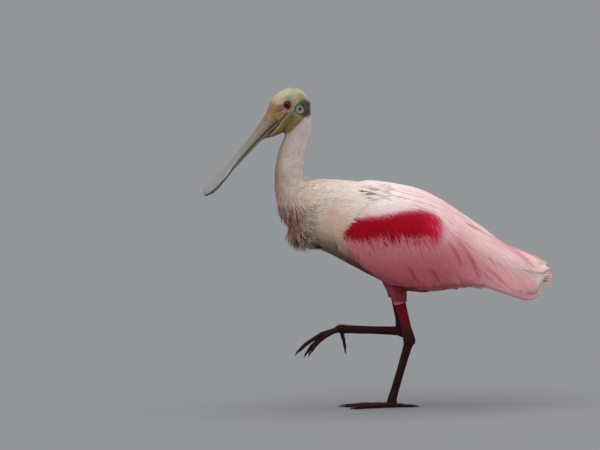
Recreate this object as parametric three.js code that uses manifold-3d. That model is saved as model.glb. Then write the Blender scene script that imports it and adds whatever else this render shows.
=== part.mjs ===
// A roseate spoonbill, life size, standing on its left leg with the right one lifted.
// Millimetres, +Z up. The bird faces -X, its left side is -Y, and z = 0 is the floor.
// The origin is the middle of the sole of the standing foot.
import * as THREE from "three";
import { mergeVertices } from "three/addons/utils/BufferGeometryUtils.js";
import Module from "manifold-3d";

const wasm = await Module();
wasm.setup();
const { Manifold } = wasm;

// Driving dimensions.
const BILL = 168; // forehead to tip
const SPOON_HALF = 24.5; // half the width of the spoon
const TARSUS = 106; // ankle to foot
const EYE_RADIUS = 7.5;
const TAIL = 112; // root to tip of the tail feathers
const GAP = 0.3; // space between neighbouring pieces
const VANE_THICK = 0.7; // a feather's vane
const SECTION_POWER = 2.3; // 2 is an ellipse, more is boxier
const RAD = Math.PI / 180;

// Colours, from the photograph.
const FINISH = {
  back: { color: 0xe6d6cf, roughness: 0.9 },
  neck: { color: 0xcfc3b8, roughness: 0.95 },
  wing: { color: 0xd99aa2, roughness: 0.85 },
  tail: { color: 0xd9a184, roughness: 0.85 },
  thigh: { color: 0x8c3d48, roughness: 0.95 },
  leg: { color: 0x5c1820, roughness: 0.55 },
  foot: { color: 0x2c1c1c, roughness: 0.6 },
  claw: { color: 0x181414, roughness: 0.4 },
  face: { color: 0xb3a780, roughness: 0.6 },
  pouch: { color: 0x83713f, roughness: 0.6 },
  bill: { color: 0xa5a294, roughness: 0.45 },
  eye: { color: 0x7a0c0c, roughness: 0.1 },
};

// Shared tools

const lerp = (a, b, t) => a + (b - a) * t;
const spread = (n, make) => Array.from({ length: n }, (_, i) => make(n > 1 ? i / (n - 1) : 0, i));

// Reads a table of [position, value, value, ...] rows as smooth curves, at one position.
function read(rows, position) {
  const last = rows.length - 1;
  const p = Math.min(Math.max(position, rows[0][0]), rows[last][0]);
  let i = 0;
  while (i < last - 1 && p > rows[i + 1][0]) i++;
  const [a, b] = [rows[i], rows[i + 1]];
  const [before, after] = [rows[Math.max(i - 1, 0)], rows[Math.min(i + 2, last)]];
  const span = b[0] - a[0];
  const t = (p - a[0]) / span;
  return a.slice(1).map((_, k) => {
    const j = k + 1;
    const leave = ((b[j] - before[j]) / (b[0] - before[0])) * span;
    const arrive = ((after[j] - a[j]) / (after[0] - a[0])) * span;
    const [t2, t3] = [t * t, t * t * t];
    return (
      (2 * t3 - 3 * t2 + 1) * a[j] + (t3 - 2 * t2 + t) * leave + (3 * t2 - 2 * t3) * b[j] + (t3 - t2) * arrive
    );
  });
}

// A geometry from points and triangles.
function geometryOf(points, triangles) {
  const geometry = new THREE.BufferGeometry();
  geometry.setAttribute("position", new THREE.Float32BufferAttribute(points.flatMap((p) => p.toArray()), 3));
  geometry.setIndex(triangles.flat());
  return geometry;
}

// A closed solid through rings of equally many points, each ring counter-clockwise as seen from the next.
function loft(rings) {
  const around = rings[0].length;
  const points = rings.flat();
  const triangles = [];
  for (let r = 0; r < rings.length - 1; r++)
    for (let k = 0; k < around; k++) {
      const [a, b] = [r * around + k, r * around + ((k + 1) % around)];
      triangles.push([a, b, b + around], [a, b + around, a + around]);
    }
  const middle = (ring) => ring.reduce((sum, p) => sum.add(p), new THREE.Vector3()).divideScalar(around);
  const start = points.push(middle(rings[0])) - 1;
  const end = points.push(middle(rings[rings.length - 1])) - 1;
  const lastRing = (rings.length - 1) * around;
  for (let k = 0; k < around; k++) {
    const next = (k + 1) % around;
    triangles.push([start, next, k], [end, lastRing + k, lastRing + next]);
  }
  return solidOf(geometryOf(points, triangles));
}

// The manifold solid of a closed geometry, turned so that its faces point out.
function solidOf(source) {
  const geometry = source.clone();
  geometry.deleteAttribute("normal");
  geometry.deleteAttribute("uv");
  const merged = mergeVertices(geometry, 1e-4);
  const make = (triVerts) =>
    new Manifold(new wasm.Mesh({ numProp: 3, vertProperties: merged.attributes.position.array, triVerts }));
  const triVerts = new Uint32Array(merged.index.array);
  const solid = make(triVerts);
  return solid.volume() < 0 ? make(triVerts.reverse()) : solid;
}

const join = (solids) => Manifold.union(solids);
const largest = (solid) => solid.decompose().reduce((best, piece) => (piece.volume() > best.volume() ? piece : best));
const mirrored = (solid) => solid.mirror([0, 1, 0]);

// A named mesh of a solid, with one of the finishes.
function meshOf(name, solid, finish) {
  const made = largest(solid).getMesh();
  const geometry = new THREE.BufferGeometry();
  geometry.setAttribute("position", new THREE.BufferAttribute(new Float32Array(made.vertProperties), 3));
  geometry.setIndex(new THREE.BufferAttribute(new Uint32Array(made.triVerts), 1));
  geometry.computeVertexNormals();
  const mesh = new THREE.Mesh(geometry, new THREE.MeshStandardMaterial({ ...FINISH[finish], metalness: 0 }));
  mesh.name = name;
  return mesh;
}

// The point of a boxy oval section at an angle from its widest height: 90 is the top, -90 the bottom.
function sectionPoint(x, [top, wide, bottom, half], degrees, grow = 0) {
  const power = 2 / SECTION_POWER;
  const [c, s] = [Math.cos(degrees * RAD), Math.sin(degrees * RAD)];
  const reach = s >= 0 ? top - wide : wide - bottom;
  const y = (half + grow) * Math.sign(c) * Math.abs(c) ** power;
  const z = wide + (reach + grow) * Math.sign(s) * Math.abs(s) ** power;
  return new THREE.Vector3(x, y, z);
}

// A solid through upright sections along x, from a table of [x, top, widest height, bottom, half width].
function trunkLoft(rows, { sections, around, grow = 0 }) {
  const [first, last] = [rows[0][0], rows[rows.length - 1][0]];
  return loft(
    spread(sections, (t) => {
      const eased = t - Math.sin(2 * Math.PI * t) * 0.09; // closer sections at both ends
      const x = lerp(first - grow, last + grow, eased);
      const sizes = read(rows, lerp(first, last, eased));
      return spread(around + 1, (u) => sectionPoint(x, sizes, 360 * u, grow)).slice(0, around);
    }),
  );
}

// A tube along stations of {at, fore, side}: half depth in the plane of the path and half width across it.
// across is the direction of the half width.
function limb(stations, { around = 12, across = new THREE.Vector3(0, 1, 0), grow = 0 } = {}) {
  return loft(
    stations.map(({ at, fore, side }, i) => {
      const ahead = stations[Math.min(i + 1, stations.length - 1)].at;
      const behind = stations[Math.max(i - 1, 0)].at;
      const along = ahead.clone().sub(behind).normalize();
      const sideways = across.clone().addScaledVector(along, -across.dot(along)).normalize();
      const depth = new THREE.Vector3().crossVectors(along, sideways);
      const shift = grow * (i === 0 ? -1 : i === stations.length - 1 ? 1 : 0);
      return spread(around + 1, (u) =>
        at
          .clone()
          .addScaledVector(along, shift)
          .addScaledVector(sideways, (side + grow) * Math.cos(2 * Math.PI * u))
          .addScaledVector(depth, (fore + grow) * Math.sin(2 * Math.PI * u)),
      ).slice(0, around);
    }),
  );
}

// Stations of a limb, read evenly off a table of [distance, x, y, z, fore, side].
function stationsOf(rows, count, from = rows[0][0], to = rows[rows.length - 1][0]) {
  return spread(count, (t) => {
    const [x, y, z, fore, side] = read(rows, lerp(from, to, t));
    return { at: new THREE.Vector3(x, y, z), fore, side };
  });
}

// Torso

// x, top, widest height, bottom, half width.
const TORSO = [
  [-166, 304, 291, 279, 8],
  [-160, 328, 295, 270, 22],
  [-150, 351, 300, 265, 33],
  [-138, 363, 303, 262, 41],
  [-122, 367, 304, 256, 48],
  [-100, 368, 302, 246, 54],
  [-70, 367, 297, 229, 59],
  [-30, 362, 288, 207, 62],
  [10, 355, 277, 190, 60],
  [45, 343, 266, 185, 55],
  [80, 320, 255, 187, 47],
  [115, 294, 246, 195, 37],
  [150, 264, 237, 208, 25],
  [172, 245, 232, 219, 14],
];
const torsoBody = (grow = 0) => trunkLoft(TORSO, { sections: 18, around: 22, grow });

// The shaggy tuft at the base of the neck: tapered locks that hang and sweep back along the breast.
const LOCK_ROWS = 3;
const LOCKS_A_ROW = 5;
const LOCK_LENGTH = 19;
function lock(x, degrees, length, width) {
  const widths = [1, 1.15, 0.8, 0.15];
  const stations = widths.map((share, i) => {
    const t = i / (widths.length - 1);
    const at = sectionPoint(x + length * t, read(TORSO, x + length * t), degrees * (1 + 0.05 * t), 4.6 * t - 1.6);
    return { at, fore: Math.max(0.9 * share, 0.3), side: width * share };
  });
  return limb(stations, { around: 4 });
}
function breastTuft() {
  const locks = [];
  for (let row = 0; row < LOCK_ROWS; row++)
    for (let k = 0; k < LOCKS_A_ROW; k++) {
      const across = 2 * (k / (LOCKS_A_ROW - 1) - 0.5) + (row % 2 ? 0.09 : -0.09);
      const degrees = -90 + across * lerp(62, 44, row / (LOCK_ROWS - 1));
      const length = LOCK_LENGTH * (1 + 0.16 * Math.sin(5 * k + 3 * row));
      locks.push(lock(lerp(-160, -138, row / (LOCK_ROWS - 1)), degrees, length, 4.2));
    }
  return locks;
}
const torso = join([torsoBody(), ...breastTuft()]);

// Neck

// Distance down the neck, then x, y, z of its middle, and its half depth and half width.
const NECK = [
  [-16, -160, 0, 489, 10, 10],
  [-4, -152, 0, 484.5, 15.5, 14],
  [8, -147, 0, 474.5, 18.5, 17],
  [22, -146, 0, 461, 20.5, 18.5],
  [38, -148, 0, 445, 21.5, 19],
  [54, -152.5, 0, 429, 22, 19.5],
  [71, -158, 0, 413, 23, 20],
  [88, -162.5, 0, 397, 23.5, 20.5],
  [104, -164.5, 0, 381, 24, 21.5],
  [122, -163, 0, 363, 26.5, 24],
  [142, -156.5, 0, 344, 32, 30],
  [164, -144, 0, 326, 37, 36],
  [186, -126, 0, 312, 40, 40],
];
const NECK_CUTS = [50, 98]; // distances at which the neck is parted into lengths
const NECK_SIDES = 16;
const NECK_STATIONS = 18;
const neckWhole = () => limb(stationsOf(NECK, NECK_STATIONS), { around: NECK_SIDES });
// A block across the neck that fills all of it past a distance: sign is 1 for what is below, -1 for above.
function neckBlock(distance, sign) {
  const [at, ahead] = stationsOf(NECK, 2, distance, distance + 1).map((station) => station.at);
  const block = new THREE.BoxGeometry(160, 160, 300);
  block.translate(0, 0, 150 - GAP / 2);
  const turn = new THREE.Quaternion().setFromUnitVectors(
    new THREE.Vector3(0, 0, 1),
    ahead.clone().sub(at).normalize().multiplyScalar(sign),
  );
  block.applyQuaternion(turn);
  block.translate(...at.toArray());
  return solidOf(block);
}

// Head, in its own frame: x forward along the bill, y to the bird's left, z up from the eye line

const HEAD_AT = new THREE.Vector3(-173.5, 0, 486);
const HEAD_DOWN = 47.6; // how far the bill points below level
const HEAD_TURN = 21; // how far the bill is turned to the bird's left
const headFrame = new THREE.Matrix4();
{
  const level = Math.cos(HEAD_DOWN * RAD);
  const forward = new THREE.Vector3(
    -level * Math.cos(HEAD_TURN * RAD),
    -level * Math.sin(HEAD_TURN * RAD),
    -Math.sin(HEAD_DOWN * RAD),
  );
  const left = new THREE.Vector3(Math.sin(HEAD_TURN * RAD), -Math.cos(HEAD_TURN * RAD), 0);
  const up = new THREE.Vector3().crossVectors(forward, left);
  headFrame.makeBasis(forward, left, up).setPosition(HEAD_AT);
}

// x, top, widest height, bottom, half width.
const SKULL = [
  [-37, -4, -10, -16, 6],
  [-34, 2, -10, -22, 12.5],
  [-28, 9.5, -9, -28, 17.5],
  [-18, 15.5, -8, -31.5, 21],
  [-7, 19, -7, -32, 22],
  [3, 20, -6, -31, 20.5],
  [12, 18.5, -6, -29, 18],
  [22, 15, -6, -26.5, 15],
  [30, 12.3, -5.5, -23, 13],
];
const skull = (grow = 0) => trunkLoft(SKULL, { sections: 13, around: 18, grow });

const EYE_AT = new THREE.Vector3(0, 14.3, 0);
const eyeball = (grow = 0) => {
  const sphere = new THREE.SphereGeometry(EYE_RADIUS + grow, 12, 8);
  sphere.rotateX(Math.PI / 2);
  return solidOf(sphere);
};
// A ring of lid round the eye, with a brow that stands over it.
function lids() {
  const ring = new THREE.TorusGeometry(6.4, 1.3, 5, 14);
  ring.rotateX(Math.PI / 2);
  ring.scale(1.12, 1, 0.96);
  ring.translate(EYE_AT.x, EYE_AT.y + 4.6, EYE_AT.z);
  const brow = new THREE.SphereGeometry(1, 8, 6);
  brow.scale(11, 3.4, 2.6);
  brow.rotateY(-8 * RAD);
  brow.translate(2, EYE_AT.y + 1.8, 8.2);
  return [solidOf(ring), solidOf(brow)];
}
// The ear: a low ring round a slit, behind and below the eye.
const EAR_AT = new THREE.Vector3(-8, 20.4, -19);
function earRing() {
  const ring = new THREE.TorusGeometry(4.4, 1.3, 5, 10);
  ring.rotateX(Math.PI / 2 + 0.35);
  ring.scale(1.15, 1, 1);
  ring.translate(EAR_AT.x, EAR_AT.y - 1.2, EAR_AT.z);
  return solidOf(ring);
}
function earSlit() {
  const slit = new THREE.SphereGeometry(1, 8, 6);
  slit.scale(3.2, 5, 1.6);
  slit.rotateY(-40 * RAD);
  slit.translate(EAR_AT.x, EAR_AT.y, EAR_AT.z);
  return solidOf(slit);
}

// Bill: x, top, mouth line, half width. It narrows, then opens into the spoon.
const BILL_ROOT = 27;
const BILL_TIP = BILL_ROOT + BILL;
const UPPER_BILL = [
  [14, 14, -8, 13.6],
  [30, 12, -6.6, 13],
  [48, 9.8, -4.6, 11.6],
  [72, 8, -2.9, 10],
  [98, 7, -1.7, 9.3],
  [118, 6.6, -0.9, 10.2],
  [136, 6.4, 0, 14],
  [152, 6.4, 0.9, 20.5],
  [166, 6.5, 1.7, SPOON_HALF - 0.8],
  [177, 6.4, 2.1, SPOON_HALF],
  [186, 5.9, 2.2, 21],
  [192, 5.1, 1.8, 12.5],
  [BILL_TIP, 3.9, 0.7, 4],
];
// Half width and depth below the mouth line of the lower bill.
const LOWER_BILL = [
  [14, 12.6, 9],
  [30, 12, 8],
  [48, 10.6, 7],
  [72, 9, 6.2],
  [98, 8.3, 5.6],
  [118, 9.2, 5],
  [136, 12.8, 4.2],
  [152, 19, 3.8],
  [166, SPOON_HALF - 2.6, 3.6],
  [177, SPOON_HALF - 2.2, 3.4],
  [186, 18.5, 2.9],
  [190, 12, 2.3],
  [193, 4, 1.6],
];
const BILL_ARC = 9; // points over a bill's back, from edge to edge
const BILL_EDGE = 1.1; // height of the bill's rim
// Flat along the mouth line, arched over the other side; sign is 1 above and -1 below.
function billRing(x, mouth, half, depth, sign) {
  const rim = Math.min(BILL_EDGE, depth * 0.45) * sign;
  const arch = spread(BILL_ARC, (t) => {
    const angle = Math.PI * t;
    const rise = (depth * sign - rim) * Math.sin(angle) ** 0.75;
    return new THREE.Vector3(x, half * Math.cos(angle), mouth + rim + rise);
  });
  const floor = [new THREE.Vector3(x, -half * 0.97, mouth), new THREE.Vector3(x, half * 0.97, mouth)];
  return [...arch, ...floor];
}
function billHalf(rows, sections, ringAt) {
  const [first, last] = [rows[0][0], rows[rows.length - 1][0]];
  return loft(
    spread(sections, (t) => {
      const x = lerp(first, last, Math.sin((t * Math.PI) / 2) ** 0.85);
      return ringAt(x, read(rows, x));
    }),
  );
}
const upperBill = () =>
  billHalf(UPPER_BILL, 15, (x, [top, mouth, half]) => billRing(x, mouth + GAP / 2, half, top - mouth, 1));
const lowerBill = (grow = 0) =>
  billHalf(LOWER_BILL, 15, (x, [half, depth]) => {
    const mouth = read(UPPER_BILL, x)[1] - GAP / 2;
    return billRing(x, mouth + grow, half + grow, depth + 2 * grow, -1);
  });
// The nostrils: two slits near the root of the upper bill.
const NOSTRIL_AT = new THREE.Vector3(42, 6.4, 9.2);
function nostril(side) {
  const slit = new THREE.SphereGeometry(1, 8, 4);
  slit.scale(5, 0.9, 2.4);
  slit.rotateZ(-0.06 * side);
  slit.translate(NOSTRIL_AT.x, NOSTRIL_AT.y * side, NOSTRIL_AT.z);
  return solidOf(slit);
}

// The bare pouch of skin under the lower bill: x, top, widest height, bottom, half width.
const POUCH = [
  [14, -8, -18, -30.5, 14],
  [24, -9, -18, -30.5, 13.5],
  [34, -9, -17, -28.8, 12.4],
  [44, -8, -15, -24.5, 10.6],
  [54, -7, -12.5, -18, 8.6],
  [62, -6.5, -10.5, -13, 7],
  [68, -6.5, -8.5, -10.2, 4.5],
];

// Wings: feathers laid in tiers over one smooth envelope

// x, top, widest height, bottom, half width.
const ENVELOPE = [
  [-99, 362, 300, 225, 50],
  [-75, 363, 299, 215, 59],
  [-51, 361, 295, 200, 64],
  [-19, 358, 287, 182, 67],
  [13, 353, 277, 166, 67],
  [45, 345, 266, 158, 65],
  [77, 329, 256, 158, 61],
  [109, 308, 247, 160, 56],
  [141, 286, 238, 160, 50],
  [173, 266, 230, 156, 44],
  [205, 250, 221, 146, 38],
  [237, 237, 213, 144, 33],
  [270, 222, 206, 144, 29],
];
const envelope = (x, degrees) => sectionPoint(x, read(ENVELOPE, x), degrees);
// The angle on the envelope at which the side of the bird is at a height.
function angleAt(x, z) {
  const [top, wide, bottom] = read(ENVELOPE, x);
  const share = z >= wide ? (z - wide) / (top - wide) : (z - wide) / (wide - bottom);
  const s = Math.min(Math.abs(share), 0.999) ** (SECTION_POWER / 2);
  return (Math.sign(share) * Math.asin(s)) / RAD;
}
// The envelope's slopes and outward normal at a point.
function slopes(x, degrees) {
  const step = 0.5;
  const alongX = envelope(x + step, degrees).sub(envelope(x - step, degrees)).divideScalar(2 * step);
  const alongAngle = envelope(x, degrees + step).sub(envelope(x, degrees - step)).divideScalar(2 * step);
  const normal = new THREE.Vector3().crossVectors(alongX, alongAngle).normalize();
  if (normal.y < 0) normal.negate();
  return { alongX, alongAngle, normal };
}
// A point off the envelope, moved across it by a vector that lies in it.
function offEnvelope(x, degrees, shift, lift) {
  const { alongX, alongAngle } = slopes(x, degrees);
  const [a, b, c] = [alongX.dot(alongX), alongX.dot(alongAngle), alongAngle.dot(alongAngle)];
  const [p, q] = [alongX.dot(shift), alongAngle.dot(shift)];
  const det = a * c - b * b;
  const toX = x + (p * c - q * b) / det;
  const toAngle = Math.min(degrees + (q * a - p * b) / det, 88);
  return envelope(toX, toAngle).addScaledVector(slopes(toX, toAngle).normal, lift);
}

const VANE_SHAPE = [
  [0, 0.4],
  [0.4, 0.95],
  [0.84, 0.86],
  [1, 0.3],
];
const POINTED_SHAPE = [
  [0, 0.5],
  [0.45, 1],
  [0.8, 0.7],
  [1, 0.14],
];
// One feather from root to tip, each [x, angle]. Its lower edge stands up by tilt over the next one.
function vane({ root, tip, width, lift, shape = VANE_SHAPE, bend = 0, tilt = 0.15, columns = 2 }) {
  const middle = (s) => [lerp(root[0], tip[0], s), lerp(root[1], tip[1], s) + bend * Math.sin(Math.PI * s)];
  const faces = [1, -1].map((face) =>
    shape.flatMap(([s, share]) => {
      const [x, degrees] = middle(s);
      const [before, after] = [middle(s - 0.02), middle(s + 0.02)];
      const along = envelope(...after).sub(envelope(...before)).normalize();
      const up = new THREE.Vector3().crossVectors(slopes(x, degrees).normal, along).normalize();
      if (up.z < 0) up.negate();
      return spread(columns, (t) => {
        const across = (t - 0.5) * width * share;
        const off = lift - tilt * across + (face * VANE_THICK) / 2;
        return offEnvelope(x, degrees, up.clone().multiplyScalar(across), off);
      });
    }),
  );
  const points = faces.flat();
  const back = faces[0].length;
  const triangles = [];
  const rows = shape.length;
  for (let r = 0; r < rows - 1; r++)
    for (let c = 0; c < columns - 1; c++) {
      const [p, q] = [r * columns + c, (r + 1) * columns + c];
      const pair = [
        [p, p + 1, q + 1],
        [p, q + 1, q],
      ];
      triangles.push(...pair, ...pair.map(([i, j, k]) => [i + back, k + back, j + back]));
    }
  const rim = [
    ...spread(columns, (_, c) => c),
    ...spread(rows - 2, (_, r) => (r + 2) * columns - 1),
    ...spread(columns, (_, c) => rows * columns - 1 - c),
    ...spread(rows - 2, (_, r) => (rows - 2 - r) * columns),
  ];
  rim.forEach((p, i) => {
    const next = rim[(i + 1) % rim.length];
    triangles.push([p, p + back, next + back], [p, next + back, next]);
  });
  return solidOf(geometryOf(points, triangles));
}

// The arm under the coverts: a dome on the envelope, oval in side view.
const ARM = { x: -2, z: 284, long: 84, high: 56, rise: 9.5, deep: 16 };
const ARM_SPOKES = 20;
function arm() {
  const ring = (share, lift) =>
    spread(ARM_SPOKES + 1, (u) => {
      const x = ARM.x + ARM.long * share * Math.cos(2 * Math.PI * u);
      const degrees = angleAt(x, ARM.z + ARM.high * share * Math.sin(2 * Math.PI * u));
      return envelope(x, degrees).addScaledVector(slopes(x, degrees).normal, lift);
    }).slice(0, ARM_SPOKES);
  const inner = [0.06, 0.97].map((share) => ring(share, -ARM.deep));
  const outer = [1, 0.8, 0.5, 0.06].map((share) => ring(share, 0.6 + ARM.rise * (1 - share ** 2)));
  return loft([...inner, ...outer]);
}

const rootAt = (x, z) => [x, angleAt(x, z)];
// A row of feathers between a first and a last one, each given by root, tip, width and lift.
function tier(count, first, last, options = {}) {
  const mix = (a, b, t) => (Array.isArray(a) ? a.map((v, i) => lerp(v, b[i], t)) : lerp(a, b, t));
  return spread(count, (t) =>
    vane({
      root: mix(first.root, last.root, t),
      tip: mix(first.tip, last.tip, t),
      width: lerp(first.width, last.width, t),
      lift: lerp(first.lift, last.lift, t),
      ...options,
    }),
  );
}
function wing() {
  const feathers = [
    // primaries, which show as the rounded lobe under the tail
    ...tier(
      4,
      { root: rootAt(28, 232), tip: rootAt(224, 185), width: 28, lift: 0 },
      { root: rootAt(46, 248), tip: rootAt(250, 211), width: 24, lift: 0.6 },
      { bend: 3 },
    ),
    // secondaries along the lower edge
    ...tier(
      6,
      { root: rootAt(0, 240), tip: rootAt(62, 199), width: 31, lift: 1.4 },
      { root: rootAt(58, 264), tip: rootAt(194, 200), width: 31, lift: 2.2 },
    ),
    // tertials, long and lying up to the ridge of the back
    ...tier(
      6,
      { root: rootAt(56, 278), tip: rootAt(226, 212), width: 28, lift: 3 },
      { root: [40, 70], tip: [252, 68], width: 24, lift: 3.4 },
      { bend: -3 },
    ),
    // greater coverts
    ...tier(
      7,
      { root: rootAt(-62, 264), tip: rootAt(18, 206), width: 29, lift: 5.2 },
      { root: rootAt(48, 276), tip: rootAt(152, 210), width: 31, lift: 6 },
      { bend: -2 },
    ),
    // scapulars over the roots of the tertials
    ...tier(
      4,
      { root: rootAt(-44, 322), tip: rootAt(52, 302), width: 27, lift: 7 },
      { root: [-30, 74], tip: [96, 76], width: 24, lift: 6 },
      { bend: -3 },
    ),
    // the red lesser coverts, in two fringes
    ...tier(
      7,
      { root: rootAt(-66, 280), tip: rootAt(-50, 250), width: 15, lift: 8 },
      { root: rootAt(58, 292), tip: rootAt(84, 260), width: 15, lift: 7.4 },
      { shape: POINTED_SHAPE, tilt: 0 },
    ),
    ...tier(
      6,
      { root: rootAt(-58, 296), tip: rootAt(-46, 266), width: 15, lift: 10 },
      { root: rootAt(50, 304), tip: rootAt(72, 274), width: 15, lift: 9.4 },
      { shape: POINTED_SHAPE, tilt: 0 },
    ),
  ];
  return join([arm(), ...feathers]);
}

// Tail: a narrow fan under the folded wings

const TAIL_PAIRS = 4;
const TAIL_ROOT = new THREE.Vector3(150, 0, 231);
const TAIL_TIP_DROP = 17;
// One tail feather: a flat vane that leans out from the middle by side, -1 to 1.
function tailFeather(side, layer) {
  const out = side * 17;
  const length = TAIL * (1 - 0.05 * side * side);
  const droop = layer * 1.3;
  const rows = VANE_SHAPE.map(([s, share]) => {
    const at = new THREE.Vector3(
      TAIL_ROOT.x + length * s,
      out * (0.35 + 0.65 * s),
      TAIL_ROOT.z - droop - TAIL_TIP_DROP * s,
    );
    return { at, fore: VANE_THICK / 2, side: 10.5 * share + 2 };
  });
  return limb(rows, { around: 4 });
}
function tail() {
  const base = limb(
    [
      { at: new THREE.Vector3(146, 0, 232), fore: 12, side: 17 },
      { at: new THREE.Vector3(166, 0, 228), fore: 11, side: 18 },
      { at: new THREE.Vector3(184, 0, 224), fore: 7.5, side: 17 },
      { at: new THREE.Vector3(202, 0, 221), fore: 3, side: 11 },
    ],
    { around: 14 },
  );
  const feathers = [tailFeather(0, 0)];
  for (let k = 1; k <= TAIL_PAIRS; k++)
    for (const sign of [1, -1]) feathers.push(tailFeather((sign * k) / TAIL_PAIRS, 2 * k + (sign < 0 ? 1 : 0)));
  return join([base, ...feathers]);
}

// Legs

// The joints of each leg: where it leaves the body, the ankle, and the root of the toes.
const FOOT_HIGH = 11;
const LEFT_ANKLE = new THREE.Vector3(28, -17, 109);
const LEFT_FOOT = new THREE.Vector3(0, 0, FOOT_HIGH);
const RIGHT_ANKLE = new THREE.Vector3(17.5, 21, 121);
const RIGHT_FOOT = new THREE.Vector3(-83, 19, 124.5);
const SLEEVE_END = 0.36; // share of the shin that the feathers cover, from the belly down

// The feathered thigh, from inside the flank to its narrow cuff.
function thigh(hip, cuff, grow = 0) {
  const rows = [
    [0, 40, 26],
    [0.3, 33, 22],
    [0.55, 22, 16.5],
    [0.8, 14, 12],
    [1, 10.6, 9.6],
  ];
  const stations = rows.map(([t, fore, side]) => ({ at: hip.clone().lerp(cuff, t), fore, side }));
  return limb(stations, { around: 14, grow });
}
// The bare shin down to the knobbed ankle.
function shin(cuff, ankle, grow = 0) {
  const rows = [
    [0, 8.3, 7],
    [0.35, 7.9, 6.6],
    [0.65, 8, 6.6],
    [0.85, 9.4, 7.4],
    [1, 9.9, 8],
  ];
  const stations = rows.map(([t, fore, side]) => ({ at: cuff.clone().lerp(ankle, t), fore, side }));
  return limb(stations, { around: 12, grow });
}
// The knob of the ankle joint.
function knob(ankle, grow = 0) {
  const ball = new THREE.SphereGeometry(1, 12, 8);
  ball.scale(10.3 + grow, 8.5 + grow, 10.3 + grow);
  ball.translate(...ankle.toArray());
  return solidOf(ball);
}
// The bare tarsus from ankle to toes.
function tarsus(ankle, foot) {
  const rows = [
    [0, 8.2, 6.8],
    [0.18, 7, 5.6],
    [0.5, 6.5, 5.1],
    [0.82, 6.8, 5.5],
    [1, 7.6, 7.2],
  ];
  const stations = rows.map(([t, fore, side]) => ({ at: ankle.clone().lerp(foot, t), fore, side }));
  return limb(stations, { around: 12 });
}

// Toes: length without claw, angle from straight ahead towards the right, and thickness at the root.
const TOES = {
  inner: { length: 58, turn: 31, thick: 8.4 },
  middle: { length: 74, turn: 2, thick: 9 },
  outer: { length: 66, turn: -29, thick: 8.4 },
  hind: { length: 34, turn: 176, thick: 7.4 },
};
const CLAW = 9;
// One toe along a path, flat underneath: points is a list of its sole's middle, up is the way its back faces.
function toe(points, ups, thick) {
  const last = points.length - 1;
  return loft(
    points.map((at, i) => {
      const along = points[Math.min(i + 1, last)].clone().sub(points[Math.max(i - 1, 0)]).normalize();
      const up = ups[i].clone().addScaledVector(along, -ups[i].dot(along)).normalize();
      const side = new THREE.Vector3().crossVectors(up, along);
      const high = lerp(thick, thick * 0.62, i / last) * (i % 2 ? 0.93 : 1.05);
      const half = high * 0.5;
      const outline = [
        [-0.7, 0],
        [0.7, 0],
        [1, 0.34],
        [0.78, 0.8],
        [0, 1],
        [-0.78, 0.8],
        [-1, 0.34],
      ];
      return outline.map(([c, h]) => at.clone().addScaledVector(side, c * half).addScaledVector(up, h * high));
    }),
  );
}
// A claw that starts just past a toe's end and curves down.
function claw(end, along, up, thick) {
  const stations = [0, 0.35, 0.7, 1].map((t) => {
    const at = end
      .clone()
      .addScaledVector(up, thick * 0.31 * (1 - 0.72 * t * t))
      .addScaledVector(along, GAP + CLAW * t);
    const radius = lerp(thick * 0.27, 0.35, t ** 1.3);
    return { at, fore: radius, side: radius };
  });
  return limb(stations, { around: 7, across: new THREE.Vector3().crossVectors(up, along) });
}
const TOE_STEPS = 6;
const turned = (degrees) => new THREE.Vector3(-Math.cos(degrees * RAD), Math.sin(degrees * RAD), 0);
const UP = new THREE.Vector3(0, 0, 1);

// The standing foot: toes flat on the floor round a low palm, with small webs between the front ones.
function standingFoot(foot, mirror) {
  const claws = {};
  const pieces = Object.entries(TOES).map(([name, { length, turn, thick }]) => {
    const along = turned(turn * mirror);
    const start = new THREE.Vector3(foot.x, foot.y, 0).addScaledVector(along, 2);
    const points = spread(TOE_STEPS, (t) => start.clone().addScaledVector(along, length * t));
    claws[name] = claw(points[TOE_STEPS - 1], along, UP, thick);
    return toe(points, points.map(() => UP), thick);
  });
  const palm = (grow) =>
    limb(
      [
        { at: new THREE.Vector3(foot.x, foot.y, 0), fore: 8, side: 8 },
        { at: new THREE.Vector3(foot.x, foot.y, 5), fore: 9, side: 9 },
        { at: new THREE.Vector3(foot.x + 0.6, foot.y, FOOT_HIGH), fore: 8.2, side: 7.6 },
      ],
      { around: 12, grow },
    );
  for (const [a, b] of [
    ["inner", "middle"],
    ["middle", "outer"],
  ])
    pieces.push(web(foot, turned(TOES[a].turn * mirror), turned(TOES[b].turn * mirror)));
  return { foot: join([palm(0), ...pieces]), room: palm(GAP), claws };
}
const WEB_REACH = 27;
function web(foot, sideA, sideB) {
  const from = new THREE.Vector2(foot.x, foot.y);
  const out = (direction, reach) => from.clone().add(new THREE.Vector2(direction.x, direction.y).multiplyScalar(reach));
  const between = sideA.clone().add(sideB).normalize();
  const shape = new THREE.Shape([from, out(sideA, WEB_REACH), out(between, WEB_REACH * 0.62), out(sideB, WEB_REACH)]);
  const plate = new THREE.ExtrudeGeometry(shape, { depth: 1.8, bevelEnabled: false });
  plate.translate(0, 0, 1.4);
  return solidOf(plate);
}

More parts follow.
